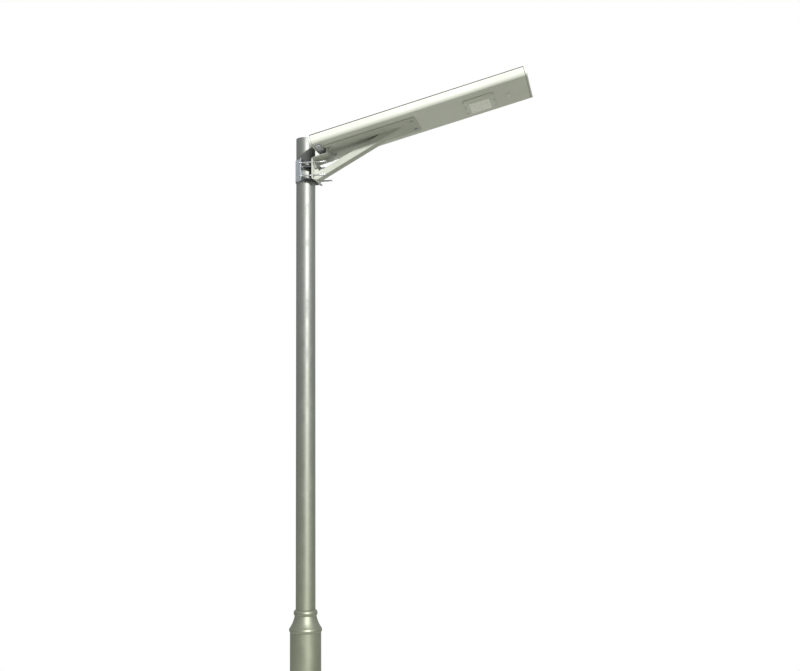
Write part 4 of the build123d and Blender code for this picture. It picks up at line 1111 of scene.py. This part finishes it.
for finish, nodes in [
    (body_paint, "body_shell"),
    (pole_paint, "base_flange centering_rings"),
    (zinc, "collar_screws"),
    (liner_film, "clamp_liner"),
    (mill_aluminium, "backing_bars controller_case controller_cover led_heatsink"),
    (seal_rubber, "end_gasket_pole_side end_gasket_far_side led_gasket"),
    (white_film, "pv_backsheet"),
    (black_plastic, "pv_junction_box battery_tray"),
    (cell_sleeve, "battery_cells"),
    (nickel, "battery_links battery_straps"),
    (board_green, "battery_protection_board controller_board pir_board"),
    (board_white, "led_board"),
    (chip_phosphor, "led_chips"),
    (wire_sleeve, "pv_lead battery_lead led_lead sensor_lead"),
]:
    for node in nodes.split():
        dress(node, finish)


# ------------ floor, light and camera
def floor():
    """A pale round floor under the pole, a little below it at the rim."""
    ring = lathe([(1.6, -0.03), (1.6, -0.001), (0.8, -0.0005), (0.02, -0.0005)], ROW, 96)
    finish = Finish("floor_pale")
    finish.colour(finish.two_tone(finish.noise(2.0, 3.0), (0.80, 0.80, 0.79), (0.84, 0.84, 0.83)))
    finish.gloss(finish.noise(8.0), 0.55, 0.7)
    mesh = bpy.data.meshes.new("floor")
    rows, count = ring.shape[:2]
    mesh.from_pydata(ring.reshape(-1, 3).tolist(), [], ring_faces(rows, count, 0, False))
    mesh.materials.append(finish.material)
    made = add_object("floor", mesh)


def world_light():
    """White to the eye, and a soft sky over a dimmer ground for light and reflections."""
    world = bpy.data.worlds.new("studio")
    bpy.context.scene.world = world
    world.use_nodes = True
    tree = world.node_tree
    tree.nodes.clear()
    new, link = tree.nodes.new, tree.links.new
    height = new("ShaderNodeSeparateXYZ")
    link(new("ShaderNodeTexCoord").outputs["Generated"], height.inputs[0])
    ramp = new("ShaderNodeValToRGB")
    shift = new("ShaderNodeMapRange")
    shift.inputs["From Min"].default_value = -1
    link(height.outputs["Z"], shift.inputs["Value"])
    link(shift.outputs["Result"], ramp.inputs["Fac"])
    colours = (0.455, 0.47, 0.375, 1), (0.86, 0.88, 0.92, 1)
    for stop, at, colour in zip(ramp.color_ramp.elements, (0.30, 0.62), colours):
        stop.position, stop.color = at, colour
    soft = new("ShaderNodeBackground")
    link(ramp.outputs["Color"], soft.inputs["Color"])
    soft.inputs["Strength"].default_value = 0.75
    white = new("ShaderNodeBackground")
    white.inputs["Color"].default_value = (1, 1, 1, 1)
    mix = new("ShaderNodeMixShader")
    link(new("ShaderNodeLightPath").outputs["Is Camera Ray"], mix.inputs["Fac"])
    link(soft.outputs[0], mix.inputs[1])
    link(white.outputs[0], mix.inputs[2])
    link(mix.outputs[0], new("ShaderNodeOutputWorld").inputs["Surface"])


def key_light():
    """A low sun from the front right."""
    lamp = bpy.data.lights.new("key", "SUN")
    lamp.energy = 4.4
    lamp.angle = radians(5)
    made = add_object("key", lamp)
    toward = Matrix.Rotation(radians(32.7), 3, "Z") @ Matrix.Rotation(radians(66.5), 3, "X")
    made.rotation_euler = toward.to_euler()


CAMERA_BEARING = radians(15.58)
CAMERA_DISTANCE = 5.1977
CAMERA_HEIGHT = 1.5473
CAMERA_TURN = radians(4.80)
CAMERA_PITCH = radians(5.78)
CAMERA_ROLL = radians(-0.46)


def camera():
    """Eye height, well back and a little to the right, looking slightly up."""
    data = bpy.data.cameras.new("camera")
    data.lens = 50.78
    data.sensor_width = 36
    made = add_object("camera", data)
    made.location = (
        CAMERA_DISTANCE * sin(CAMERA_BEARING), -CAMERA_DISTANCE * cos(CAMERA_BEARING), CAMERA_HEIGHT
    )
    turn = Matrix.Rotation(CAMERA_BEARING - CAMERA_TURN, 3, "Z")
    turn = turn @ Matrix.Rotation(pi / 2 + CAMERA_PITCH, 3, "X") @ Matrix.Rotation(CAMERA_ROLL, 3, "Z")
    made.rotation_euler = turn.to_euler()
    bpy.context.scene.camera = made


floor()
world_light()
key_light()
camera()
bpy.context.scene.view_settings.view_transform = "Standard"
